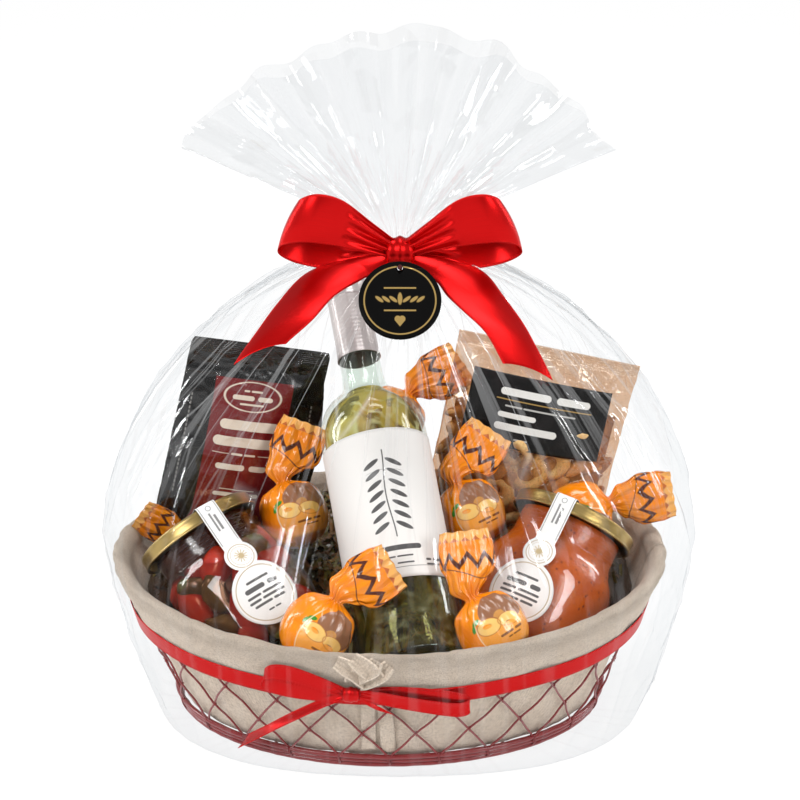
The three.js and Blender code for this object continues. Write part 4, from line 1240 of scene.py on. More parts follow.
@dataclass(frozen=True)
class OvalWall:
    """The basket's oval wall, leaning out from the foot to the rim."""

    middle: float = -7.5
    foot: Pair = (151, 113)
    rim: Pair = (192.5, 154)
    height: float = 103
    lift: float = 8
    even: float = 0.072

    def angle(self, turn: float) -> float:
        """The oval's angle at a share of the way round, in near even steps."""
        return TAU * turn + self.even * math.sin(2 * TAU * turn)

    def point(self, turn: float, offset: float, z: float) -> Vector:
        """A point beside the wall.

        Args:
            turn: the share of the way round, from 0 at +X.
            offset: how far outward from the wires.
            z: the height before the rim's lift.

        Returns:
            The point.
        """
        share = z / self.height
        angle = self.angle(turn)
        a = self.foot[0] + (self.rim[0] - self.foot[0]) * share + offset
        b = self.foot[1] + (self.rim[1] - self.foot[1]) * share + offset
        rise = self.lift * math.cos(angle) ** 2 * share
        return Vector((self.middle + a * math.cos(angle), b * math.sin(angle), z + rise))

    def turn_at(self, x: float) -> float:
        """The share of the way round of the front point above x."""
        angle = -math.acos((x - self.middle) / self.rim[0])
        return (angle - self.even * math.sin(2 * angle)) / TAU


WALL = OvalWall()


@dataclass(frozen=True)
class Ribbon:
    """A flat band through stations of (middle, half width), with the middles seen from an origin."""

    stations: Sequence[tuple[Triple, Triple]]
    crown: float = 0.0
    flutter: float = 0.0
    origin: Triple = (0, 0, 0)
    pleats: int = 3

    def middle(self, along: float) -> Vector:
        """The middle line's point."""
        return Vector(self.origin) + eased([Vector(point) for point, _ in self.stations], along)

    def half(self, along: float) -> Vector:
        """Half of the width, as a vector."""
        return eased([Vector(half) for _, half in self.stations], along)

    def mirrored(self) -> "Ribbon":
        """The band on the other side of the basket's middle plane."""
        flip = [((-p[0], p[1], p[2]), (-h[0], h[1], h[2])) for p, h in self.stations]
        return replace(self, stations=flip, crown=-self.crown)

    def lay(self, work: Workpiece, columns: int, rows: int, half_width: float) -> None:
        """Adds the band to a workpiece.

        Args:
            work: the workpiece.
            columns: faces along the band.
            rows: faces across it.
            half_width: half of the flat width, for the chart.
        """
        points = [self.middle(i / 60) for i in range(61)]
        length = sum((b - a).length for a, b in zip(points, points[1:]))
        step = 1e-3
        turns = math.pi * self.pleats

        def place(u: float, v: float) -> Vector:
            """The band's point at (u, v).

            Args:
                u: the share along or round.
                v: the share across.

            Returns:
                The point, in millimetres.
            """
            across = 2 * v - 1
            half = self.half(u)
            normal = (self.middle(min(u + step, 1)) - self.middle(max(u - step, 0))).cross(half).normalized()
            gather = math.sqrt(max(0.0, half_width / max(half.length, 1.0) - 1.14))
            pleat = half.length / turns * 1.9 * gather * math.sin(turns * across + 0.6)
            ripple = self.flutter * math.sin(u * length / 9 + across) * across
            rise = self.crown * (1 - across * across) + ripple + pleat
            return self.middle(u) + half * across + normal * rise

        work.sheet(columns, rows, place, lambda u, v: (u * length, (2 * v - 1) * half_width))


# Pieces


@dataclass(frozen=True)
class Basket:
    """The dark red wire basket: three foot rods, a rim, a floor of cross rods and crossing legs with ties."""

    rod: float = 1.9
    rim: float = 1.5
    cross_rod: float = 1.4
    leg_wire: float = 0.8
    tie_wire: float = 0.45
    pairs: int = 24
    steps: int = 144
    cross: Sequence[float] = (-80, -27, 27, 80)

    def dress(self) -> None:
        """Builds the rods, the crossing wires and their ties."""
        work = Workpiece()
        low = 1.2 + 0.866 * self.rod
        turns = [i / self.steps for i in range(self.steps)]
        draw = random.Random(4)
        for k, (offset, lift) in enumerate(((0.3, 0), (-0.1, 1.86 * self.rod), (0.1, 3.7 * self.rod))):
            wander = [0.25 * math.sin(TAU * t * (3 + k) + draw.random() * 6) for t in turns]
            path = [WALL.point(t, offset + w, low + lift) for t, w in zip(turns, wander)]
            work.tubes([path], self.rod, True, 3)
        work.tubes([[WALL.point(t, 0, WALL.height) for t in turns]], self.rim, True, 2)
        work.tubes([self.cross_path(x, low) for x in self.cross], self.cross_rod, False, 2)
        foot, top = low + 3.4 * self.rod, WALL.height
        legs, ties = [], []
        for k in range(self.pairs):
            legs += [self.leg(k, way, foot, top) for way in (1, -1)]
            ties.append(self.tie(k / self.pairs, low + 1.8 * self.rod, 3.1 * self.rod))
            ties.append(self.twist(k + 1, (foot + top) / 2))
            ties.append(self.twist(k + 0.5, foot + (top - foot) * 0.25))
        work.tubes(legs, self.leg_wire, False, 1)
        work.tubes(ties, self.tie_wire, False, 1)
        work.finish("basket_wires", [Lacquer().make()], ["basket_frame"], Slot.WIRE)

    @staticmethod
    def cross_path(x: float, z: float) -> list[Vector]:
        """The path of a cross rod under the floor."""
        reach = WALL.foot[1] * math.sqrt(1 - (x / WALL.foot[0]) ** 2) - 1
        return [Vector((WALL.middle + x, y, z)) for y in (-reach, 0, reach)]

    def leg(self, first: int, way: int, foot: float, top: float) -> list[Vector]:
        """The path of one wire, bowed round those that it crosses.

        Args:
            first: the number of its place at the foot.
            way: 1 where it winds one way round, -1 for the other.
            foot: its height at the foot.
            top: its height at the rim.

        Returns:
            The path's points.
        """
        points = []
        for i in range(25):
            rise = i / 24
            bow = -0.95 * way * math.cos(rise * 4 * TAU) if 0.04 < rise < 0.96 else 0
            turn = (first + way * 2 * rise) / self.pairs
            points.append(WALL.point(turn, bow * 0.8 + way * 0.35, foot + (top - foot) * rise))
        return points

    def tie(self, turn: float, z: float, size: float) -> list[Vector]:
        """The path of two turns of thin wire round the rods at the foot.

        Args:
            turn: the share of the way round the basket.
            z: the middle's height.
            size: half of the turns' height.

        Returns:
            The path's points.
        """
        points = []
        for i in range(29):
            angle = TAU * 2 * i / 28
            offset, rise = (self.rod + 0.6) * math.cos(angle), size * 0.92 * math.sin(angle)
            points.append(WALL.point(turn + 0.0022 * (i / 28 - 0.5), offset, z + rise))
        return points

    def twist(self, place: float, z: float) -> list[Vector]:
        """The path of a small twist of wire where two legs cross.

        Args:
            place: the crossing's place, counted in legs.
            z: its height.

        Returns:
            The path's points.
        """
        points = []
        for i in range(19):
            angle = TAU * 1.5 * i / 18
            turn = (place + 0.02 * math.sin(angle)) / self.pairs
            points.append(WALL.point(turn, 1.25 * math.cos(angle), z + (i / 18 - 0.5) * 3.4))
        return points


@dataclass(frozen=True)
class Liner:
    """The linen lining: floor, wall, soft roll over the rim and a flap outside, as (offset, height)."""

    path: Sequence[Pair] = (
        (-13, 6.4), (-5.6, 9.6), (-4.4, 17), (-4.35, 40), (-4.35, 70), (-4.6, 95), (-5.4, 103),
        (-3.4, 107.6), (0.2, 109), (3.6, 107.2), (5.0, 102.5), (4.2, 96), (3.5, 84), (3.4, 69))
    floor: float = 0.16
    folds: Sequence[Sequence[Triple]] = (
        ((-42, 106, 3), (-35, 103, 8), (-28, 98, 10), (-23, 92, 9), (-20, 86, 5)),
        ((-15, 108, 3), (-18, 103, 9), (-25, 99, 12), (-31, 93, 9), (-33, 87, 4)),
        ((-31, 110, 2), (-25, 106, 8), (-19, 101, 12), (-16, 95, 10), (-18, 88, 5)),
        ((-7, 104, 3), (-12, 99, 8), (-18, 95, 10), (-25, 90, 8), (-29, 85, 4)))
    tails: Sequence[Triple] = ((-23.5, 16, -2), (-11, 13.5, 3))
    tail_top: float = 70.0
    tail_half: float = 5.2

    def surface(self, u: float, v: float) -> Vector:
        """The lining's middle surface.

        Args:
            u: the share of the way round.
            v: 0 at the floor's centre and 1 at the flap's edge.

        Returns:
            The point.
        """
        if v < self.floor:
            edge = WALL.point(u, *self.path[0])
            return Vector((WALL.middle, 0, self.path[0][1])).lerp(edge, v / self.floor)
        spots = [Vector((offset, z, 0)) for offset, z in self.path]
        spot = eased(spots, (v - self.floor) / (1 - self.floor))
        return WALL.point(u, spot.x, spot.y)

    def wrinkles(self, u: float, v: float, point: Vector) -> float:
        """The height of the folds over the smooth lining.

        Args:
            u: the share of the way round.
            v: the place from the floor to the flap's edge.
            point: the smooth lining's point.

        Returns:
            The height in millimetres.
        """
        if v < 0.2:
            return 0.0
        roll = math.exp(-((v - 0.72) / 0.13) ** 2)
        flap = min(1.0, max(0.0, (v - 0.8) / 0.1))
        inner = 1 - min(1.0, max(0.0, (v - 0.5) / 0.1))
        drape = noise.noise(Vector((u * 46, v * 3.0, 1.7)))
        slant = noise.noise(Vector((u * 90 + v * 9, v * 5 - u * 20, 8.1)))
        soft = noise.noise(point / 17)
        hang = ridge(point, 16, 60, 3.0) - 0.5
        crumple = 1.1 * (ridge(point, 17, 13, 4.0) ** 2 - 0.3)
        on_roll = roll * (1.5 * drape + 1.2 * slant + crumple)
        on_flap = flap * (0.8 * drape + 0.8 * soft + 0.6 * crumple)
        return on_roll + on_flap + inner * (0.5 * hang + 0.3 * soft)

    def dress(self) -> None:
        """Builds the lining, its braided tie and the two tails under it."""
        linen = Linen().make()
        work = Workpiece()
        work.sheet(360, 84, raised(self.surface, self.wrinkles), lambda u, v: (u * 1010, v * 300))
        work.weld()
        lining = work.finish("linen_lining", [linen], ["linen_liner"], Slot.LINEN, thick=1.1)
        self.dress_tie(linen)
        tails = Workpiece()
        for x, low, lean in self.tails:
            stations = []
            for k in range(7):
                z = self.tail_top - (self.tail_top - low) * k / 6
                spot = WALL.point(WALL.turn_at(x + lean * k / 6), -2.2, z)
                stations.append((tuple(spot), (self.tail_half, -0.1, 0.15 * math.sin(k * 1.7))))
            Ribbon(stations, 0.25, 0.15).lay(tails, 40, 8, self.tail_half)
        piece = tails.finish("lining_tails", [linen], ["liner_tie"], Slot.LINEN, thick=0.7)

    def dress_tie(self, linen: Material) -> None:
        """Builds the braided knot of linen strips on the front of the roll.

        Args:
            linen: the lining's material.
        """
        work = Workpiece()
        for row in self.folds:
            middles = [WALL.point(WALL.turn_at(x), 5.2 + lift * 0.62, z) for x, z, lift in row]
            last = len(middles) - 1
            stations = []
            for k, spot in enumerate(middles):
                ahead = middles[min(k + 1, last)] - middles[max(k - 1, 0)]
                half = ahead.cross(Vector((0, -1, 0.3))).normalized() * (5.6 if 0 < k < last else 4.2)
                stations.append((tuple(spot), tuple(half)))
            Ribbon(stations, 2.6, 0.3).lay(work, 36, 14, 6.5)
        piece = work.finish("lining_braid", [linen], ["liner_tie"], Slot.LINEN, thick=1.6)


def tie_knot(work: Workpiece, centre: Vector, half: Vector) -> None:
    """Adds a knot: a short band wrapped round a ribbon's middle, with creases.

    Args:
        work: the workpiece.
        centre: the knot's middle.
        half: its half sizes.
    """

    def place(u: float, v: float) -> Vector:
        """The knot's point at (u, v), round and across.

        Args:
            u: the share along or round.
            v: the share across.

        Returns:
            The point, in millimetres.
        """
        angle, across = TAU * u, 2 * v - 1
        pinch = 1 - 0.3 * across * across + 0.06 * math.cos(across * 9)
        step = Vector((across, -pinch * math.cos(angle), pinch * math.sin(angle)))
        return centre + step * half

    work.sheet(40, 14, place, lambda u, v: (u * 34, (v - 0.5) * 8))
    work.weld()


@dataclass(frozen=True)
class NarrowRibbon:
    """The narrow ribbon round the basket with its small bow."""

    half: float = 5.75
    height: float = 74.0
    knot: Triple = (-33.0, -151.9563, 78.0)
    knot_half: Triple = (5.6, 4.0, 5.4)
    stand: float = 4.2

    def band(self, u: float, v: float) -> Vector:
        """The band round the flap, whose lower edge stands off the wall at the front and the back.

        Args:
            u: the share of the way round.
            v: the share of the way up.

        Returns:
            The point.
        """
        sway = 0.35 * math.sin(TAU * u * 5) + 0.2 * math.sin(TAU * u * 11)
        offset = 5.2 + self.stand * abs(math.sin(WALL.angle(u))) * (1 - v) + 0.15 * math.cos(3 * v)
        return WALL.point(u, offset, self.height + self.half * (2 * v - 1) + sway)

    def dress(self) -> None:
        """Builds the band, the two loops, the tail, the stub and the knot."""
        work = Workpiece()
        w = self.half
        work.sheet(320, 6, self.band, lambda u, v: (u * 1080, (2 * v - 1) * w))
        work.weld()
        left = Ribbon([
            ((-2, -1, 1), (0, 0, 3)), ((-20, -2, 8), (1, 0, 0.9 * w)), ((-42, 2, 14), (1.5, 0, w)),
            ((-56, 6, 13), (2, 0, w)), ((-59, 9, 6), (1, 1, w)), ((-46, 6, 1), (0, 0, w)),
            ((-22, 2, -1), (0, 0, 0.9 * w)), ((-2, 1, 0), (0, 0, 3))], 0.5, origin=self.knot)
        right = Ribbon([
            ((2, -1, 1), (0, 0, 3)), ((20, -3, -2), (0, -1, 0.9 * w)), ((46, -3.5, -7), (0, -1.5, w)),
            ((72, -2.5, -11), (0, -1, w)), ((80, 0.5, -8), (0, 0, w)), ((62, 0, -3), (0, 0, w)),
            ((30, 0.5, 0), (0, 0, 0.9 * w)), ((2, 1, 0), (0, 0, 3))], -0.5, origin=self.knot)
        tail = Ribbon([
            ((-1, -1, 0), (2, 0, 3)), ((-20, 1, -8), (3, 0, 0.9 * w)), ((-44, 12, -26), (3.5, 0, w)),
            ((-63, 26, -44), (4, 0, w)), ((-76, 43, -60), (4, 0, w))], 0.4, origin=self.knot)
        stub = Ribbon([
            ((1, 0, 0), (-2, 0, 3)), ((12, -1, -7), (-4, 0, 4)),
            ((24, 0, -13), (-5, 0, 3))], 0.3, origin=self.knot)
        for ribbon, columns in ((left, 90), (right, 100), (tail, 70), (stub, 24)):
            ribbon.lay(work, columns, 18, w)
        tie_knot(work, Vector(self.knot) + Vector((0, -1, 0)), Vector(self.knot_half))
        satin = Satin("narrow_satin", w).make()
        piece = work.finish("narrow_ribbon_bow", [satin], ["narrow_ribbon"], Slot.SATIN, thick=0.4)


@dataclass(frozen=True)
class Bow:
    """The big satin bow at the neck of the film; each tail is given by the plan places of its two edges."""

    half: float = 18.0
    knot: Triple = (0, 21.0, 334.0)
    knot_half: Triple = (10, 9, 10)
    left_tail: Sequence[tuple[Pair, Pair]] = (
        ((-15, 24), (-5, 18)), ((-40, 27), (-20, 10)), ((-66, 22), (-28, 6)), ((-85, 1), (-45, -6)),
        ((-101, -21), (-60, -23)), ((-114, -37), (-78, -35)))
    right_tail: Sequence[tuple[Pair, Pair]] = (
        ((15, 24), (5, 18)), ((38, 25), (18, 10)), ((58, 20), (26, 4)), ((72, 1), (33, -7)),
        ((85, -17), (45, -20)), ((93, -32), (59, -33)), ((104, -52), (70, -50)))

    def dress(self, film: "FilmShape") -> None:
        """Builds the two loops, the two tails, the neck's turn and the knot.

        Args:
            film: the film that the tails lie on.
        """
        w = self.half
        loop = Ribbon([
            ((-4, -3, 2), (0, 0, 7)), ((-22, -9, 13), (2, 0, 11)), ((-43, -15, 25), (4, 0, 0.9 * w)),
            ((-62, -17, 29), (6, 0, 0.97 * w)), ((-75, -11, 24), (7, 0, 0.95 * w)),
            ((-77, 1, 14), (7, 3, 0.92 * w)), ((-65, 9, 5), (5, 6, 0.9 * w)), ((-43, 9, 0), (2, 6, 0.82 * w)),
            ((-20, 5, 0.5), (0, 3, 8.5)), ((-4, 1, -1), (0, 0, 7))], -2.0, 0.25, self.knot)
        work = Workpiece()
        loop.lay(work, 150, 32, w)
        loop.mirrored().lay(work, 150, 32, w)
        for tail in (self.left_tail, self.right_tail):
            self.lay_tail(work, film, tail)
        tie_knot(work, Vector(self.knot) + Vector((0, -1, 0)), Vector(self.knot_half))
        work.sheet(72, 8, self.neck, lambda u, v: (u * 90, (2 * v - 1) * w))
        work.weld()
        satin = Satin("wide_satin", w).make()
        piece = work.finish("satin_bow_tied", [satin], ["satin_bow"], Slot.SATIN, thick=0.5)

    @staticmethod
    def neck(u: float, v: float) -> Vector:
        """The turn of ribbon round the film's neck, narrow at the back.

        Args:
            u: the share of the way round.
            v: the share of the way up.

        Returns:
            The point.
        """
        angle = TAU * u
        front = (1 - math.sin(angle)) / 2
        rise = 3 * front + v * (3.2 + 5.8 * front)
        return Vector((14 * math.cos(angle), 40 + 12 * math.sin(angle), 328.5 + rise))

    def lay_tail(self, work: Workpiece, film: "FilmShape", edges: Sequence[tuple[Pair, Pair]]) -> None:
        """Lays a ribbon end on the film.

        Args:
            work: the workpiece.
            film: the film's form.
            edges: the plan places of the end's two edges.
        """
        outer, inner = ([Vector((*pair[side], 0)) for pair in edges] for side in (0, 1))

        def place(u: float, v: float) -> Vector:
            """The tail's point at (u, v).

            Args:
                u: the share along or round.
                v: the share across.

            Returns:
                The point, in millimetres.
            """
            spot = eased(outer, u).lerp(eased(inner, u), v)
            across = 2 * v - 1
            crown = 2.0 * (1 - across * across) + 0.8 * math.sin(u * 9 + across)
            return film.resting(spot.x, spot.y, 3.6 + 3.4 * max(0.0, 1 - u * 5) + crown)

        work.sheet(110, 16, place, lambda u, v: (u * 150, (2 * v - 1) * self.half))


@dataclass(frozen=True)
class FilmShape:
    """The form of the clear film: a bag that leans back to the neck, and a fan above it."""

    foot: Pair = (172, 128)
    flat: Pair = (163, 115)
    girth: Pair = (210, 176)
    girth_height: float = 129
    dome: float = 197
    lean: float = 40
    neck: Pair = (13, 11)
    neck_top: float = 341
    corner: float = 0.45
    pleats: int = 16

    @staticmethod
    def oval(angle: float, a: float, b: float, corner: float, z: float) -> Vector:
        """A point of an oval whose corners fill out.

        Args:
            angle: the place round the oval.
            a: half of its width.
            b: half of its depth.
            corner: how far the corners fill out, from 0.
            z: its height.

        Returns:
            The point.
        """
        power = 2 / (2 + corner)
        c, d = math.cos(angle), math.sin(angle)
        return Vector((a * math.copysign(abs(c) ** power, c), b * math.copysign(abs(d) ** power, d), z))

    @staticmethod
    def roundness(angle: float) -> float:
        """How full the dome is on the side at that angle."""
        return 1.9 - 0.55 * max(0.0, -math.sin(angle)) ** 1.5

    def bag(self, angle: float, level: float) -> Vector:
        """A point of the bag.

        Args:
            angle: the place round it.
            level: 0 at the foot, 1 at the girth and 2 at the neck.

        Returns:
            The point.
        """
        if level <= 1:
            a = self.foot[0] + (self.girth[0] - self.foot[0]) * level ** 0.8
            b = self.foot[1] + (self.girth[1] - self.foot[1]) * level ** 0.6
            return self.oval(angle, a, b, self.corner * (1 - level), level * self.girth_height)
        share = min(level - 1, 1.0)
        edge = self.roundness(angle)
        round_off = max(1 - share ** edge, 0) ** (1 / edge)
        a = max(self.girth[0] * round_off, self.neck[0])
        b = max(self.girth[1] * round_off, self.neck[1])
        y = self.lean * share ** 1.6
        return Vector((a * math.cos(angle), y + b * math.sin(angle), self.girth_height + share * self.dome))

    def resting(self, x: float, y: float, lift: float) -> Vector:
        """The point on the front of the bag over a place of the plan.

        Args:
            x: the place across.
            y: the place in depth.
            lift: how far the point lies over the film.

        Returns:
            The point.
        """
        low, high = 0.05, 0.999
        for _ in range(24):
            share = (low + high) / 2
            centre = self.lean * share ** 1.6
            edge = self.roundness(math.atan2(y - centre, x))
            round_off = (1 - share ** edge) ** (1 / edge)
            if math.hypot(x / (self.girth[0] * round_off), (y - centre) / (self.girth[1] * round_off)) < 1:
                low = share
            else:
                high = share
        return Vector((x, y, self.girth_height + low * self.dome + lift))

    def fan(self, angle: float, reach: float) -> Vector:
        """A point of the fan.

        Args:
            angle: the place round it.
            reach: 0 at the neck and 1 at the open edge.

        Returns:
            The point.
        """
        across = 2 / math.pi * math.asin(max(-1.0, min(1.0, math.cos(angle))))
        tilt = across * math.radians(63.5)
        edge = 153 + 15 * abs(math.sin(tilt)) ** 1.5 + 3 * math.sin(5 * tilt + 0.8)
        edge += 2.0 * math.sin(17 * tilt) + 1.5 * math.sin(29 * tilt + 1)
        length = reach * edge
        side = math.sin(angle)
        front = math.copysign(abs(side) ** 0.8, side)
        depth = self.neck[1] + (24 - self.neck[1]) * reach
        pleat = -4 * math.sqrt(reach) * math.cos(self.pleats * angle) * min(1.0, abs(side) * 4)
        fine = 0.6 * math.sqrt(reach) * math.sin(37 * angle + 2 * math.sin(3 * angle)) * (1.2 - reach)
        wander = 4.4 * reach * noise.noise(Vector((tilt * 6, reach * 2.5, 4 + side)))
        x = self.neck[0] * math.cos(angle) * (1 - reach) + length * math.sin(tilt)
        y = self.lean - 4 * reach + depth * front + pleat + fine + wander
        return Vector((x, y, self.neck_top + length * math.cos(tilt) - 13 * reach))


@dataclass(frozen=True)
class FilmWrap:
    """The clear film round everything; the ends are shares of the sheet from its floor's middle."""

    shape: FilmShape
    floor: float = 0.4
    floor_end: float = 0.06
    foot_end: float = 0.08
    bag_end: float = 0.62
    neck_end: float = 0.66
    gathers: int = 34

    def surface(self, u: float, v: float) -> Vector:
        """The smooth film.

        Args:
            u: the share of the way round.
            v: 0 in the middle of its floor and 1 at the fan's edge.

        Returns:
            The point.
        """
        angle, shape = TAU * u, self.shape
        if v < self.foot_end:
            edge = shape.oval(angle, *shape.flat, shape.corner, self.floor)
            if v < self.floor_end:
                return Vector((0, 0, self.floor)).lerp(edge, v / self.floor_end)
            return edge.lerp(shape.bag(angle, 0.03), (v - self.floor_end) / (self.foot_end - self.floor_end))
        if v < self.bag_end:
            share = (v - self.foot_end) / (self.bag_end - self.foot_end)
            return shape.bag(angle, 0.03 + 1.97 * (1 - (1 - share) ** 1.35))
        if v < self.neck_end:
            share = (v - self.bag_end) / (self.neck_end - self.bag_end)
            a, b = shape.neck
            low = shape.girth_height + shape.dome
            z = low + share * (shape.neck_top - low)
            return Vector((a * math.cos(angle), shape.lean + b * math.sin(angle), z))
        return shape.fan(angle, ((v - self.neck_end) / (1 - self.neck_end)) ** 1.2)

    def folds(self, u: float, v: float, point: Vector) -> float:
        """The height of folds and crinkles over the smooth film.

        Args:
            u: the share of the way round.
            v: the place from the floor to the fan's edge.
            point: the smooth film's point.

        Returns:
            The height in millimetres.
        """
        if v < 0.07:
            return 0.0
        if v > self.bag_end:
            return 0.5 * (ridge(point, 20, 30, 2.0) - 0.5) * min(1.0, (v - self.bag_end) * 8)
        share = max(0.0, (point.z - 200) / 126)
        radius = math.hypot(point.x, point.y - self.shape.lean)
        wander = 5 * noise.noise(Vector((u * 9, v * 4, 0)))
        gather = math.sin(self.gathers * TAU * u + wander) * min(2.6 * share ** 2, 0.09 * radius)
        spun = Vector((math.cos(TAU * u) * 190, math.sin(TAU * u) * 160, point.z))
        tense = 2.4 * (ridge(spun, 34, 120, 5.0) ** 3) + 1.6 * ridge(spun, 60, 45, 9.0) ** 4
        crumple = 0.5 * ridge(spun, 19, 24, 1.0) ** 2
        return gather + min(1.0, (v - 0.07) * 16) * (tense + crumple)

    def dress(self) -> None:
        """Builds the film as one sheet."""
        work = Workpiece()
        work.sheet(448, 190, raised(self.surface, self.folds), lambda u, v: (u * 1200, v * 700))
        work.weld(2e-3)
        piece = work.finish("film_wrap", [Film().make()], ["cellophane_wrap", "cellophane_fan"], Slot.FILM)


def smooth(points: Sequence[Pair]) -> list[Pair]:
    """A profile eased through its points."""
    line, count = [Vector((r, z, 0)) for r, z in points], 4 * len(points)
    return [(max(p.x, 0.0), p.y) for p in (eased(line, i / count) for i in range(count + 1))]


def filling(inside: Sequence[Pair], gap: float, top: float) -> list[Pair]:
    """The profile of what fills a vessel.

    Args:
        inside: the vessel's inside profile, from its mouth down.
        gap: how far the filling reaches into the wall.
        top: the filling's height.

    Returns:
        The part of the profile below the top.
    """
    return [(r + gap, z) for r, z in reversed(inside) if z < top and r > 0]


@dataclass(frozen=True)
class Bottle:
    """The clear bottle with its wine, capsule and label; profiles are (radius, height)."""

    outside: Sequence[Pair] = (
        (0, 6), (20, 4.5), (30, 0.6), (34, 0), (36.6, 1.2), (38, 4), (38, 8), (38, 60), (38, 130),
        (38, 158), (38, 170), (37.7, 179), (36.3, 187.5), (33.4, 195.5), (29.4, 201.6), (24.4, 206),
        (19.6, 209.4), (16.6, 214), (15.3, 220), (14.7, 232), (14.3, 299))
    inside: Sequence[Pair] = (
        (10.3, 299), (10.8, 250), (11.2, 217), (12.6, 212), (16, 207.8), (21.6, 203.4), (26.8, 198.4),
        (30.8, 192.5), (33.6, 185.5), (35, 177), (35.2, 168), (35.2, 60), (35.2, 10), (33, 6), (26, 6.5),
        (10, 12), (0, 14))
    cap: Sequence[Pair] = (
        (0, 300.6), (12, 300.6), (14.6, 300.2), (15.4, 299), (15.5, 297), (15.1, 295), (15.1, 287),
        (15.5, 285.6), (15.3, 284), (15.2, 262), (15.3, 250), (15.6, 242), (16.0, 238.2), (15.5, 238),
        (15.0, 244), (14.8, 252), (14.6, 299), (0, 299.8))
    level: float = 210.5
    label_radius: float = 38.4
    label_low: float = 54.0
    label_height: float = 112.0
    steps: int = 96

    def dress(self) -> None:
        """Builds the four pieces."""
        turn = SPOTS["bottle"].matrix
        glass, wine, capsule, label = (Workpiece() for _ in range(4))
        glass.turned(smooth(self.outside) + list(self.inside), self.steps)
        wall = ClearWall("bottle_glass", (0.93, 0.962, 0.935, 1))
        glass.finish("bottle_shell", [wall.make()], ["bottle_glass"], Slot.BOTTLE, turn, sharp=50)
        body = filling(self.inside, 0.25, self.level)
        surface = [(14.2, self.level), (12, self.level - 0.8), (0, self.level - 0.9)]
        wine.turned([(0, 13.75), *body, *surface], self.steps)
        wine.finish("bottle_drink", [Wine(turn).make()], ["bottle_wine"], Slot.WINE, turn, sharp=60)
        capsule.turned(self.cap, self.steps)
        foil = Capsule(turn).make()
        capsule.finish("bottle_foil", [foil], ["bottle_capsule"], Slot.CAPSULE, turn, sharp=60)
        label.sheet(72, 40, self.label_point, self.label_chart)
        label.finish("bottle_paper", [BottlePaper().make()], ["bottle_label"], Slot.PAPER, turn, thick=0.18)

    def label_point(self, u: float, v: float) -> Vector:
        """The label's point, half way round the bottle's front."""
        angle, r = (u - 0.5) * math.pi, self.label_radius
        return Vector((r * math.sin(angle), -r * math.cos(angle), self.label_low + v * self.label_height))

    def label_chart(self, u: float, v: float) -> Pair:
        """The label's flat place, from its middle and from the bottle's foot."""
        return (u - 0.5) * math.pi * self.label_radius, self.label_low + v * self.label_height


@dataclass(frozen=True)
class JarSeal:
    """The paper seal of a jar: a round label, a smaller round and a strip up over the lid."""

    low_centre: float = 23.7
    low_radius: float = 23.4
    high_centre: float = 54.8
    high_radius: float = 11.6
    strip: float = 7.6
    link: float = 0.3
    lid_edge: float = 42.0
    path: Sequence[Pair] = (
        (50.8, 10.6), (52.1, 15), (52.3, 22), (52.3, 32), (52.3, 42), (52.3, 51), (52.1, 57), (51.2, 63),
        (49.4, 70), (47.8, 77), (47.1, 84), (46.8, 92), (46.6, 99), (46.5, 106), (45.6, 109.9),
        (43.4, 111.3), (38, 111.4), (31, 111.4))

    def spot(self, v: float) -> Vector:
        """The seal's middle line as (radius, height)."""
        return eased([Vector((r, z, 0)) for r, z in self.path], v)

    def width(self, s: float) -> float:
        """Half of the seal's width.

        Args:
            s: the distance along the seal.

        Returns:
            The width of whichever part is widest there.
        """
        low = math.sqrt(max(0.0, self.low_radius ** 2 - (s - self.low_centre) ** 2))
        high = math.sqrt(max(0.0, self.high_radius ** 2 - (s - self.high_centre) ** 2))
        return max(low, high, self.strip if s > self.high_centre else self.link)

    def lay(self, work: Workpiece) -> None:
        """Adds the seal to a workpiece as one strip of changing width.

        Args:
            work: the workpiece.
        """
        count = 200
        spots = [self.spot(i / count) for i in range(count + 1)]
        run = [0.0, *accumulate((b - a).length for a, b in zip(spots, spots[1:]))]

        def flat(u: float, v: float) -> Pair:
            """The place on the flat seal, across and along.

            Args:
                u: the share across.
                v: the share along.

            Returns:
                The two distances, in millimetres.
            """
            first = min(int(v * count), count - 1)
            s = run[first] + (run[first + 1] - run[first]) * (v * count - first)
            return (2 * u - 1) * self.width(s), s

        def place(u: float, v: float) -> Vector:
            """The seal's point, round the jar and then straight over the lid.

            Args:
                u: the share along or round.
                v: the share across.

            Returns:
                The point, in millimetres.
            """
            spot, side = self.spot(v), flat(u, v)[0]
            if spot.x <= self.lid_edge:
                return Vector((side, -spot.x, spot.y))
            angle = side / spot.x
            return Vector((spot.x * math.sin(angle), -spot.x * math.cos(angle), spot.y))

        work.sheet(28, 150, place, flat)


class Side(Enum):
    """The two jars."""

    LEFT = "left"
    RIGHT = "right"


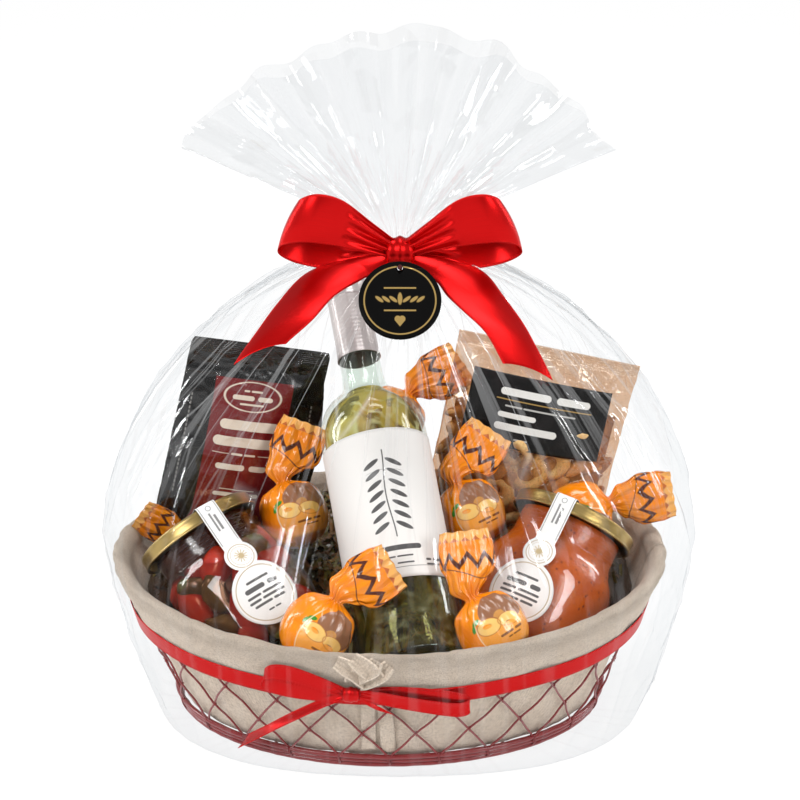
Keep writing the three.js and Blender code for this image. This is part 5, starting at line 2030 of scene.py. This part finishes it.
@dataclass(frozen=True)
class Jar:
    """A clear jar with a gold lid and a paper seal; profiles are (radius, height)."""

    side: Side
    outside: Sequence[Pair] = (
        (0, 1.6), (24, 1.2), (34, 0), (40, 0.8), (46, 4), (50, 10), (51, 17), (51, 36), (51, 56),
        (49.8, 65), (46.5, 73), (42, 80), (40.2, 83), (41.7, 85), (40.2, 87.2), (40.2, 88.4), (41.8, 90.4),
        (40.3, 92.6), (40.4, 93.8), (41.6, 95.6), (40.2, 97.6), (40, 107))
    inside: Sequence[Pair] = (
        (37.2, 107), (37.3, 88), (37.6, 82), (40.5, 75), (45, 68), (47.6, 61), (48.4, 54), (48.4, 24),
        (47.8, 14), (44.5, 7.5), (38, 4.4), (30, 4), (0, 4))
    lid: Sequence[Pair] = (
        (0, 109.3), (31, 109.3), (34, 109.4), (36, 110.1), (41.6, 110.2), (44.2, 109.6), (45, 108),
        (44.9, 105.6), (44.9, 103), (45.1, 101.6), (45.6, 100.8), (45.3, 100), (44, 99.9))
    heart: Sequence[Pair] = (
        (0, 4.6), (34, 5.2), (36.5, 14), (36.5, 57), (32, 70), (29, 78), (35, 89), (35, 99), (0, 99.4))
    rows: Sequence[tuple[float, int]] = ((15, 9), (34, 9), (53, 9), (70, 8), (84, 7))
    top: float = 100.0
    steps: int = 96

    @property
    def name(self) -> str:
        """The start of the names of the jar's nodes and pieces."""
        return f"jar_{self.side.value}"

    @property
    def turn(self) -> Matrix:
        """The jar's place."""
        return SPOTS[self.name].matrix

    def dress(self) -> None:
        """Builds the glass, the lid, the seal and what the jar holds."""
        name, turn = self.name, self.turn
        glass, lid, seal = (Workpiece() for _ in range(3))
        glass.turned(smooth(self.outside) + list(self.inside), self.steps)
        wall = ClearWall(f"{name}_clear", (0.975, 0.985, 0.98, 1), 0.45)
        glass.finish(f"{name}_shell", [wall.make()], [f"{name}_glass"], Slot.JAR, turn, sharp=50)
        lid.turned(smooth(self.lid) + [(43, 101), (42.8, 107.6), (0, 107.7)], 120)
        gold = GoldLid(f"gold_lid_{self.side.value}", turn)
        lid.finish(f"{name}_cap", [gold.make()], [f"{name}_lid"], Slot.LID, turn, sharp=60)
        JarSeal().lay(seal)
        seal.finish(f"{name}_paper", [SealPaper().make()], [f"{name}_seal"], Slot.PAPER, turn, thick=0.15)
        if self.side is Side.LEFT:
            self.dress_peppers()
        else:
            self.dress_spread()

    def dress_spread(self) -> None:
        """Builds the spread, with a slightly uneven top."""
        top, work = self.top, Workpiece()
        body = filling(self.inside[1:], 0.2, top)
        work.turned([(0, 3.8), *body, (37.4, top), (30, top + 0.6), (18, top - 0.5), (0, top)], self.steps)
        paste = Spread().make()
        work.finish("jar_right_fill", [paste], ["jar_right_spread"], Slot.SPREAD, self.turn, sharp=70)

    def dress_peppers(self) -> None:
        """Builds the red peppers, the green olives, the dark middle and the brine."""
        draw = random.Random(21)
        red, green, core, brine = (Workpiece() for _ in range(4))
        for row, (z, count) in enumerate(self.rows):
            for i in range(count):
                kind = (i * 4 + row * 2) % 3
                angle = TAU * (i + 0.5 * (row % 2) + 0.3 * draw.random()) / count
                limit = self.inner_radius(z) - 0.4
                size = (9.5, 8.5, 15) if kind == 0 else (11 + 3 * draw.random(), 9.6, 15 + 6 * draw.random())
                spot = (angle, z + 3 * (draw.random() - 0.5), limit)
                self.pod(red if kind else green, draw, spot, size, kind)
        core.turned(self.heart, 48)
        skins = ((red, "jar_left_red_pods", "red_pod", linear(176, 26, 14), linear(200, 52, 22)),
                 (green, "jar_left_green_pods", "green_pod", linear(104, 98, 46), linear(78, 74, 36)),
                 (core, "jar_left_heart", "dark_heart", linear(58, 12, 10), linear(86, 26, 14)))
        for work, name, *skin in skins:
            work.finish(name, [WetSkin(*skin).make()], ["jar_left_peppers"], Slot.PEPPERS, self.turn)
        body = filling(self.inside[1:], 0.2, self.top)
        brine.turned([(0, 3.8), *body, (37.4, self.top), (0, self.top)], self.steps)
        wet = Brine(self.turn).make()
        brine.finish("jar_left_brine", [wet], ["jar_left_peppers"], Slot.PEPPERS, self.turn, sharp=60)

    def inner_radius(self, z: float) -> float:
        """The radius of the jar's inside.

        Args:
            z: the height.

        Returns:
            The radius there.
        """
        rows = list(reversed(self.inside[:-1]))
        for (r0, z0), (r1, z1) in zip(rows, rows[1:]):
            if z0 <= z <= z1:
                return r0 + (r1 - r0) * (z - z0) / (z1 - z0)
        return rows[0][0]

    @staticmethod
    def pod(work: Workpiece, draw: random.Random, spot: Triple, size: Triple, kind: int) -> None:
        """Adds one pod, pressed against the glass.

        Args:
            work: the workpiece.
            draw: the seeded draw.
            spot: its angle round the jar, its height and the radius of the glass's inside.
            size: its half sizes.
            kind: its number, for its dents.
        """
        angle, z, limit = spot
        made = bmesh.ops.create_icosphere(work.mesh, subdivisions=3, radius=1.0)["verts"]
        tilt = Matrix.Rotation(draw.uniform(-1.6, 1.6), 4, "Y")
        for vert in made:
            p = vert.co
            dent = 1 - 0.2 * math.cos(3 * math.atan2(p.y, p.x) + kind) * (1 - abs(p.z))
            dent += 0.22 * noise.noise(p * 1.4 + Vector((angle * 3, z, kind))) - 0.25 * max(0.0, p.z) ** 3
            vert.co = tilt @ Vector((p.x * size[0] * dent, p.y * size[1] * dent, p.z * size[2]))
            vert.co.y -= limit - size[1] - 0.6
            reach = math.hypot(vert.co.x, vert.co.y)
            if reach > limit:
                vert.co.x *= limit / reach
                vert.co.y *= limit / reach
        work.lay_down(made, Vector((0, 0, z)), ("Z", angle))


@dataclass(frozen=True)
class PackForm:
    """The lens form of a pack: its size, and how depth and width change with height."""

    width: float
    height: float
    depth: float
    depth_at: Callable[[float], float]
    width_at: Callable[[float], float]

    def bulge(self, across: float, v: float) -> float:
        """How far the front stands out at a share of the half width."""
        return (1 - abs(across) ** 2.4) * self.depth / 2 * self.depth_at(v)

    def point(self, u: float, v: float) -> Vector:
        """A point round the pack.

        Args:
            u: the share of the way round, from the left edge over the front.
            v: the share of the height.

        Returns:
            The point.
        """
        side = -1 if u <= 0.5 else 1
        across = -math.cos(math.pi * min(u * 2, 2 - u * 2))
        lens = 0.5 * (1 - across ** 8) + self.bulge(across, v)
        return Vector((across * self.width / 2 * self.width_at(v), side * lens, v * self.height))

    def chart(self, u: float, v: float) -> Pair:
        """The pack's chart: across and up, the same on the front and the back."""
        across = -math.cos(math.pi * min(u * 2, 2 - u * 2))
        return across * self.width / 2, v * self.height


def pouch_depth(v: float) -> float:
    """The nut pouch's depth, full below and flat at the top seal."""
    if v < 0.2:
        return 0.86 + 0.14 * v / 0.2
    return math.cos(math.pi / 2 * min(1.0, (v - 0.2) / 0.68)) ** 0.8


def bag_depth(v: float) -> float:
    """The biscuit bag's depth."""
    low = min(1.0, max(0.0, 4.4 * (v + 0.06))) ** 0.6
    return low * math.cos(math.pi / 2 * min(1.0, max(0.0, (v - 0.45) / 0.52))) ** 0.7


def pouch_width(v: float) -> float:
    """The nut pouch's width, a little less at its foot and its top."""
    return 1 - 30 * max(0.0, v - 0.965) ** 2 - 0.3 * max(0.0, 0.1 - v)


def bag_width(v: float) -> float:
    """The biscuit bag's width, drawn in at its middle."""
    return 1 - 0.04 * math.sin(math.pi * v)


@dataclass(frozen=True)
class NutPouch:
    """The glossy black and maroon stand-up pouch."""

    form: PackForm = PackForm(104, 160, 34, pouch_depth, pouch_width)

    def shape(self, u: float, v: float) -> Vector:
        """The pouch with its right side fold spread out below the top.

        Args:
            u: the share of the way round.
            v: the share of the height.

        Returns:
            The point.
        """
        point = self.form.point(u, v)
        across = point.x / (self.form.width / 2)
        fold = max(0.0, math.sin(math.pi * min(1.0, max(0.0, (v - 0.05) / 0.8))))
        return point + Vector((8, 2, 0)) * (fold * max(0.0, across - 0.5) ** 2 * 4)

    def crinkle(self, u: float, v: float, point: Vector) -> float:
        """The pouch's wrinkles: pulls from the seals and soft dents.

        Args:
            u: the share of the way round, which they don't follow.
            v: the share of the height.
            point: the smooth pouch's point.

        Returns:
            The height in millimetres.
        """
        pull = 1.1 * (ridge(point, 24, 15, 6.0) - 0.5) * math.exp(-((v - 0.86) / 0.1) ** 2)
        sides = 0.8 * (ridge(point, 15, 13, 2.0) - 0.5)
        foot = 0.9 * (ridge(point, 12, 30, 9.0) - 0.5) * math.exp(-(v / 0.16) ** 2)
        return (pull + sides + foot) * min(1.0, (1 - v) * 12)

    def dress(self) -> None:
        """Builds the pouch."""
        work = Workpiece()
        work.sheet(160, 110, raised(self.shape, self.crinkle), self.form.chart)
        work.weld()
        for end in (0.0, self.form.height):
            rim = [e for e in work.mesh.edges if e.is_boundary and abs(e.verts[0].co.z - end) < 4]
            bmesh.ops.edgenet_fill(work.mesh, edges=rim)
        foil, turn = PouchFoil().make(), SPOTS["nut_pouch"].matrix
        work.finish("nut_pouch_foil", [foil], ["nut_pouch"], Slot.POUCH, turn)


@dataclass(frozen=True)
class BiscuitBag:
    """The clear bag of ring biscuits and almonds with its black card."""

    height: float = 166.0
    form: PackForm = PackForm(134, 166, 38, bag_depth, bag_width)
    tries: int = 2600
    card_half: float = 51.0
    card_low: float = 92.0
    card_height: float = 52.0

    def crinkle(self, u: float, v: float, point: Vector) -> float:
        """The bag's folds, larger where nothing fills it."""
        top = min(1.0, max(0.0, (v - 0.62) / 0.15))
        return (1.0 + top) * (ridge(point, 22, 26, 4.0) - 0.5) * min(1.0, (1 - v) * 12) + 0.8

    def heart(self, u: float, v: float) -> Vector:
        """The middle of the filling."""
        point = self.form.point(u, 0.03 + 0.72 * v)
        return Vector((point.x * 0.9, point.y * 0.62, point.z))

    def card(self, u: float, v: float) -> Vector:
        """The card, bowed with the bag's front.

        Args:
            u: the share across.
            v: the share of its height.

        Returns:
            The point.
        """
        x, z = self.card_chart(u, v)
        front = 0.7 + self.form.bulge(x / (self.form.width / 2), z / self.height)
        return Vector((x, -(front + 2.9 + 0.5 * math.sin(u * 5 + v * 2)), z))

    def card_chart(self, u: float, v: float) -> Pair:
        """The card's flat place."""
        return (2 * u - 1) * self.card_half, self.card_low + self.card_height * v

    def dress(self) -> None:
        """Builds the film, the biscuits, the almonds and the card."""
        film, rings, nuts, core, card = (Workpiece() for _ in range(5))
        film.sheet(150, 110, raised(self.form.point, self.crinkle), self.form.chart)
        film.weld()
        self.fill(rings, nuts)
        core.sheet(48, 30, raised(self.heart, lambda u, v, p: 1.6 * noise.noise(p / 7)), self.form.chart)
        core.weld()
        card.sheet(60, 30, self.card, self.card_chart)
        turn = SPOTS["biscuit_bag"].matrix
        crust = Baked("ring_crust", linear(246, 208, 142), linear(226, 164, 92))
        skin = Baked("almond_skin", linear(224, 168, 106), linear(186, 122, 70))
        crumb = Baked("crumb_heart", linear(196, 140, 84), linear(150, 96, 54))
        for work, name, finish in ((film, "biscuit_bag_film", BagFilm()), (rings, "biscuit_rings", crust),
                                   (nuts, "biscuit_almonds", skin), (core, "biscuit_heart", crumb)):
            work.finish(name, [finish.make()], ["biscuit_bag"], Slot.BISCUITS, turn)
        card.finish("biscuit_card", [BlackCard().make()], ["biscuit_bag_label"], Slot.CARD, turn, thick=0.3)

    def fill(self, rings: Workpiece, nuts: Workpiece) -> None:
        """Scatters the biscuits and the almonds over the front and the back of the filling.

        Args:
            rings: the workpiece of the biscuits.
            nuts: the workpiece of the almonds.
        """
        draw = random.Random(12)
        placed: list[Vector] = []
        for _ in range(self.tries):
            nut = draw.random() < 0.42
            size = 8.5 if nut else 13.0
            v = draw.uniform(0.05, 0.74)
            half = self.form.width / 2 * self.form.width_at(v) - size * 0.8
            x = draw.uniform(-half, half)
            room = self.form.bulge(x / (self.form.width / 2), v) - 4.4
            if room < 1:
                continue
            y = draw.choice((-1, -1, 1)) * room * draw.uniform(0.75, 1.0)
            spot = Vector((x, y, v * self.height))
            if any((spot - other).length < (size + 8) * 0.62 for other in placed):
                continue
            placed.append(spot)
            self.nut(nuts, draw, spot) if nut else self.ring(rings, draw, spot)

    @staticmethod
    def ring(work: Workpiece, draw: random.Random, spot: Vector) -> None:
        """Adds one ring biscuit, a loop of dough with crossed ends.

        Args:
            work: the workpiece.
            draw: the seeded draw.
            spot: its place.
        """
        thick, wide = draw.uniform(3.6, 4.4), draw.uniform(8.6, 10.4)

        def place(u: float, v: float) -> Vector:
            """The ring's point at (u, v).

            Args:
                u: the share along or round.
                v: the share across.

            Returns:
                The point, in millimetres.
            """
            a, b = TAU * u, TAU * v
            swell = thick * (1 + 0.12 * math.sin(a * 2 + wide) + 0.22 * math.exp(-((u - 0.5) / 0.09) ** 2))
            out = wide + swell * math.cos(b)
            return Vector((out * math.cos(a) * 1.12, swell * math.sin(b) * 0.9, out * math.sin(a)))

        made = work.sheet(22, 9, place)
        work.lay_down(made, spot, ("X", draw.uniform(-0.6, 0.6)), ("Z", draw.uniform(-0.7, 0.7)),
                      ("Y", draw.uniform(0, TAU)))
        bmesh.ops.remove_doubles(work.mesh, verts=made, dist=1e-3)

    @staticmethod
    def nut(work: Workpiece, draw: random.Random, spot: Vector) -> None:
        """Adds one almond, pointed at one end.

        Args:
            work: the workpiece.
            draw: the seeded draw.
            spot: its place.
        """
        made = bmesh.ops.create_icosphere(work.mesh, subdivisions=3, radius=1.0)["verts"]
        for vert in made:
            taper = 1 - 0.3 * vert.co.z
            vert.co = Vector((vert.co.x * 5.2 * taper, vert.co.y * 3.4 * taper, vert.co.z * 9.5))
        work.lay_down(made, spot, ("X", draw.uniform(-0.5, 0.5)), ("Y", draw.uniform(0, TAU)))


@dataclass(frozen=True)
class Sweets:
    """The seven sweets in orange wrappers; the fan's rows are (height, half width, half depth)."""

    radius: Pair = (24.5, 23)
    round_height: float = 24.0
    body_top: float = 20.5
    rows: Sequence[Triple] = (
        (20.5, 13.2, 12.6), (25, 5, 4.6), (34, 13, 6), (48, 19.5, 5), (60, 19, 3.4), (71, 17, 2.2))
    neck: float = 25.0
    foot: float = -23.9
    length: float = 94.9

    def half(self, z: float) -> Pair:
        """The half sizes of the wrapper.

        Args:
            z: the height.

        Returns:
            Half of its width and of its depth there.
        """
        if z < self.body_top:
            r = math.sqrt(max(0.0, 1 - (z / self.round_height) ** 2)) ** 0.75
            return self.radius[0] * r, self.radius[1] * r
        for low, high in zip(self.rows, self.rows[1:]):
            if z <= high[0]:
                t = (z - low[0]) / (high[0] - low[0])
                t = t * t * (3 - 2 * t)
                return low[1] + (high[1] - low[1]) * t, low[2] + (high[2] - low[2]) * t
        return self.rows[-1][1:]

    def dress(self) -> None:
        """Builds the sweets, each with its own folds."""
        wrap = SweetWrap().make()
        for number in range(1, 8):
            name = f"sweet_{number}"
            work = Workpiece()
            work.sheet(72, 84, self.form(SPOTS[name].bend, number), self.chart)
            work.weld()
            work.finish(f"{name}_wrapper", [wrap], [name], Slot.SWEET, SPOTS[name].matrix)

    def chart(self, u: float, v: float) -> Pair:
        """The wrapper's print, the same on its front and its back."""
        return ((u * 2) % 1.0 - 0.5) * math.pi * 21, self.foot + self.length * v

    def form(self, bend: float, seed: int) -> Place:
        """The sweet's form.

        Args:
            bend: how far the fan bends to the side, in degrees.
            seed: a number that sets its folds.

        Returns:
            The surface.
        """

        def place(u: float, v: float) -> Vector:
            """The wrapper's point at (u, v).

            Args:
                u: the share along or round.
                v: the share across.

            Returns:
                The point, in millimetres.
            """
            z = self.foot + self.length * v
            over = z - self.neck
            a, b = self.half(z)
            angle = TAU * u + math.pi
            cos, side = math.cos(angle), math.sin(angle)
            gather = 1 + 0.13 * math.exp(-(over / 10) ** 2) * math.sin(14 * angle + seed)
            body = 1 + 0.02 * noise.noise(Vector((cos * 3, side * 3, z / 8 + seed)))
            x, y = a * cos * gather * body, b * side * gather * body
            if over < 0:
                return Vector((x, y, z))
            pleats = math.sin(11 * angle + seed) * 0.22 + math.sin(19 * angle + seed * 2) * 0.1
            fold = min(1.0, (z - self.body_top) / 12) * min(1.0, over / 16)
            y += fold * 2.4 * pleats * min(1.0, abs(side) * 3 + 0.4)
            rise = over + 0.4 * math.sin(12 * cos + seed) * max(0.0, (z - 60) / 11)
            bent = math.radians(bend) * min(1.0, over / 16)
            return Vector((x * math.cos(bent) + rise * math.sin(bent), y,
                           self.neck + rise * math.cos(bent) - x * math.sin(bent)))

        return place


@dataclass(frozen=True)
class Shreds:
    """The bed under the goods, painted darker than the crinkled shreds over it as the shade between them."""

    count: int = 1500
    spread: Pair = (176, 136)
    limit: Pair = (177, 138)
    goods: Sequence[str] = (
        "bottle_glass", "bottle_label", "jar_left_glass", "jar_left_lid", "jar_right_glass", "jar_right_lid",
        "nut_pouch", "sweet")

    def dress(self) -> None:
        """Builds the bed from the CAD solid's form and scatters shreds over it."""
        bed = Workpiece()
        bed.mesh.from_mesh(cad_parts["shred_filling"].data)
        bmesh.ops.scale(bed.mesh, vec=(1 / MM,) * 3, verts=bed.mesh.verts)
        bed.weld(0.01)
        # Painted shade: the bed is much darker than the strips over it, as the shade in the gaps between
        # shreds.
        dark = ShredPaper("shade_dark_shred_bed", linear(44, 30, 18), linear(70, 50, 26)).make()
        bed.finish("shred_bed", [dark], ["shred_filling"], Slot.SHREDS, sharp=30)
        goods = [self.tree(name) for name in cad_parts
                 if name.startswith(tuple(self.goods)) or name == "biscuit_bag"]
        draw = random.Random(9)
        for name, *tone in (("shreds_brown", linear(104, 70, 34), linear(150, 108, 54)),
                            ("shreds_olive", linear(88, 80, 34), linear(126, 114, 58))):
            work = Workpiece()
            for _ in range(self.count):
                self.strip(work, draw, goods)
            work.finish(name, [ShredPaper(name + "_film", *tone).make()], ["shred_filling"], Slot.SHREDS)

    @staticmethod
    def tree(name: str) -> BVHTree:
        """A search tree of a CAD node's faces.

        Args:
            name: the node's name.

        Returns:
            The tree, in the scene's frame.
        """
        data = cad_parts[name].data
        faces = [tuple(face.vertices) for face in data.polygons]
        return BVHTree.FromPolygons([vert.co / MM for vert in data.vertices], faces)

    @staticmethod
    def top(x: float, y: float) -> float:
        """The bed's height."""
        out = math.hypot((x - WALL.middle) / WALL.rim[0], y / WALL.rim[1])
        return 92 + 18 * y / WALL.rim[1] - 14 * out ** 2 + 3 * math.sin(x / 9) * math.cos(y / 11)

    def strip(self, work: Workpiece, draw: random.Random, goods: Sequence[BVHTree]) -> None:
        """Adds one crinkled strip where it is clear of the goods.

        Args:
            work: the workpiece.
            draw: the seeded draw.
            goods: the search trees of the goods.
        """
        angle, out = TAU * draw.random(), math.sqrt(draw.random())
        x = WALL.middle + self.spread[0] * out * math.cos(angle)
        y = self.spread[1] * out * math.sin(angle)
        heading = draw.uniform(0, TAU)
        along = Vector((math.cos(heading), math.sin(heading), 0))
        side = Vector((-along.y, along.x, draw.uniform(-0.5, 0.5))).normalized() * draw.uniform(1.1, 1.7)
        length, lift = draw.uniform(18, 34), draw.uniform(1.0, 9.0)
        points = []
        for k in range(9):
            spot = Vector((x, y, 0)) + along * (k / 8 - 0.5) * length
            arch = lift * math.sin(math.pi * k / 8) + (1.5 if k % 2 else -0.5)
            spot.z = self.top(spot.x, spot.y) + arch + 1.0
            points.append(spot)
        for spot in points:
            if math.hypot((spot.x - WALL.middle) / self.limit[0], spot.y / self.limit[1]) >= 1:
                return
            for tree in goods:
                near, normal, _, gap = tree.find_nearest(spot, 14.0)
                if near is not None and (gap < 1.6 or (spot - near).dot(normal) < 0):
                    return

        def place(u: float, v: float) -> Vector:
            """The strip's point at (u, v)."""
            return points[round(u * 8)] + side * (2 * v - 1)

        work.sheet(8, 1, place)


@dataclass(frozen=True)
class Tag:
    """The round black tag and its thread."""

    radius: float = 28.5
    hole_height: float = 23.7
    hole_radius: float = 2.0
    at: Triple = (0, -19.5, 311.5)
    lean: float = 50.0

    def disc(self, u: float, v: float) -> Vector:
        """The disc between its hole and its rim.

        Args:
            u: the share of the way round the hole.
            v: 0 at the hole and 1 at the rim.

        Returns:
            The point.
        """
        way = Vector((math.cos(TAU * u), math.sin(TAU * u), 0))
        centre = Vector((0, self.hole_height, 0))
        b = centre.dot(way)
        reach = -b + math.sqrt(b * b + self.radius ** 2 - self.hole_height ** 2)
        point = (centre + way * self.hole_radius).lerp(centre + way * reach, v)
        return point + Vector((0, 0, 0.25 * math.sin(u * 3)))

    def dress(self) -> None:
        """Builds the card disc with its hole, and the thread with its knot."""
        work, thread = Workpiece(), Workpiece()
        place = Matrix.Translation(self.at) @ Matrix.Rotation(math.radians(self.lean), 4, "X")
        work.sheet(96, 16, self.disc, lambda u, v: tuple(self.disc(u, v).xy))
        work.weld()
        work.face_outward()
        work.finish("tag_disc", [TagCard().make()], ["gift_tag"], Slot.TAG, place, thick=0.8)
        hole = place @ Vector((0, self.hole_height, 0))
        out = (place.to_3x3() @ Vector((0, 0, 1))).normalized()
        spots = [hole + out * 2.2, hole, hole - out * 2.6, Vector((0, 9, 322)), Vector((0, 19, 322.6))]
        line = [eased(spots, i / 24) for i in range(25)]
        thread.tubes([line, [p + Vector((0.9, 0, 0.2)) for p in line]], 0.5, False, 2)
        made = bmesh.ops.create_icosphere(thread.mesh, subdivisions=3, radius=1.7)["verts"]
        for vert in made:
            vert.co *= 1 + 0.12 * math.sin(6 * math.atan2(vert.co.y, vert.co.x) + 4 * vert.co.z)
        bmesh.ops.translate(thread.mesh, verts=made, vec=hole + out * 2)
        thread.finish("tag_cord", [Thread().make()], ["tag_thread"], Slot.THREAD)


@dataclass(frozen=True)
class Lamp:
    """A soft rectangular light, in metres and watts."""

    name: str
    at: Triple
    wide: float
    high: float
    power: float

    def hang(self, aim: Vector) -> None:
        """Adds the light to the scene.

        Args:
            aim: the point that it faces.
        """
        data = bpy.data.lights.new(self.name, "AREA")
        data.shape = "RECTANGLE"
        data.size, data.size_y, data.energy = self.wide, self.high, self.power
        lamp = bpy.data.objects.new(self.name, data)
        lamp.location = self.at
        lamp.rotation_euler = (aim - Vector(self.at)).to_track_quat("-Z", "Y").to_euler()
        bpy.context.collection.objects.link(lamp)


@dataclass(frozen=True)
class Studio:
    """The plain floor, the light and the camera, in metres."""

    lamps: Sequence[Lamp] = (
        Lamp("left_window", (-1.25, -1.5, 1.35), 0.55, 0.9, 22),
        Lamp("right_window", (1.35, -1.3, 1.15), 0.4, 0.9, 13),
        Lamp("top", (0.1, 0.2, 2.1), 1.0, 0.7, 20),
        Lamp("left_strip", (-1.5, 0.4, 0.7), 0.16, 1.0, 8),
        Lamp("right_strip", (1.5, 0.5, 0.8), 0.16, 1.0, 8))
    lens: float = 121.4
    away: float = 1.9
    aim_height: float = 0.230
    elevation: float = 22.0

    def dress(self) -> None:
        """Sets the scene up."""
        scene = bpy.context.scene
        scene.view_settings.view_transform = "Standard"
        world = bpy.data.worlds.new("studio")
        world.use_nodes = True
        world.node_tree.nodes["Background"].inputs[0].default_value = (1, 1, 1, 1)
        world.node_tree.nodes["Background"].inputs[1].default_value = 0.35
        scene.world = world
        scene.cycles.transparent_max_bounces = 20
        scene.cycles.max_bounces, scene.cycles.diffuse_bounces, scene.cycles.glossy_bounces = 5, 2, 3
        scene.cycles.caustics_reflective = scene.cycles.caustics_refractive = False
        self.lay_floor()
        for lamp in self.lamps:
            lamp.hang(Vector((0, 0, 0.2)))
        self.set_camera(scene)

    @staticmethod
    def lay_floor() -> None:
        """Adds the pale floor, a hair below the basket."""
        mesh = bmesh.new()
        bmesh.ops.create_grid(mesh, x_segments=1, y_segments=1, size=8)
        data = bpy.data.meshes.new("floor")
        mesh.to_mesh(data)
        mesh.free()
        r = Recipe("floor_paper")
        data.materials.append(r.done(r.principled(
            Base_Color=(0.12, 0.12, 0.12, 1), Roughness=1.0, Specular_IOR_Level=0.0,
            Emission_Color=(1, 1, 1, 1), Emission_Strength=0.93)))
        floor = bpy.data.objects.new("floor", data)
        floor.location.z = -0.0006
        bpy.context.collection.objects.link(floor)

    def set_camera(self, scene: bpy.types.Scene) -> None:
        """Adds the camera at the photograph's angle.

        Args:
            scene: the scene that it films.
        """
        data = bpy.data.cameras.new("view")
        data.lens, data.sensor_width = self.lens, 36.0
        camera = bpy.data.objects.new("view", data)
        tilt = math.radians(self.elevation)
        camera.location = (0, -self.away * math.cos(tilt), self.aim_height + self.away * math.sin(tilt))
        camera.rotation_euler = (math.radians(90 - self.elevation), 0, 0)
        bpy.context.collection.objects.link(camera)
        scene.camera = camera


def main() -> None:
    """Builds the classes in order."""
    logging.basicConfig(level=logging.INFO, format="%(name)s %(message)s")
    shape = FilmShape()
    goods = (Bottle(), Jar(Side.LEFT), Jar(Side.RIGHT), NutPouch(), BiscuitBag(), Sweets())
    for part in (Studio(), Basket(), Liner(), NarrowRibbon(), Shreds(), *goods, FilmWrap(shape)):
        part.dress()
    Bow().dress(shape)
    Tag().dress()


if __name__ == "__main__":
    main()
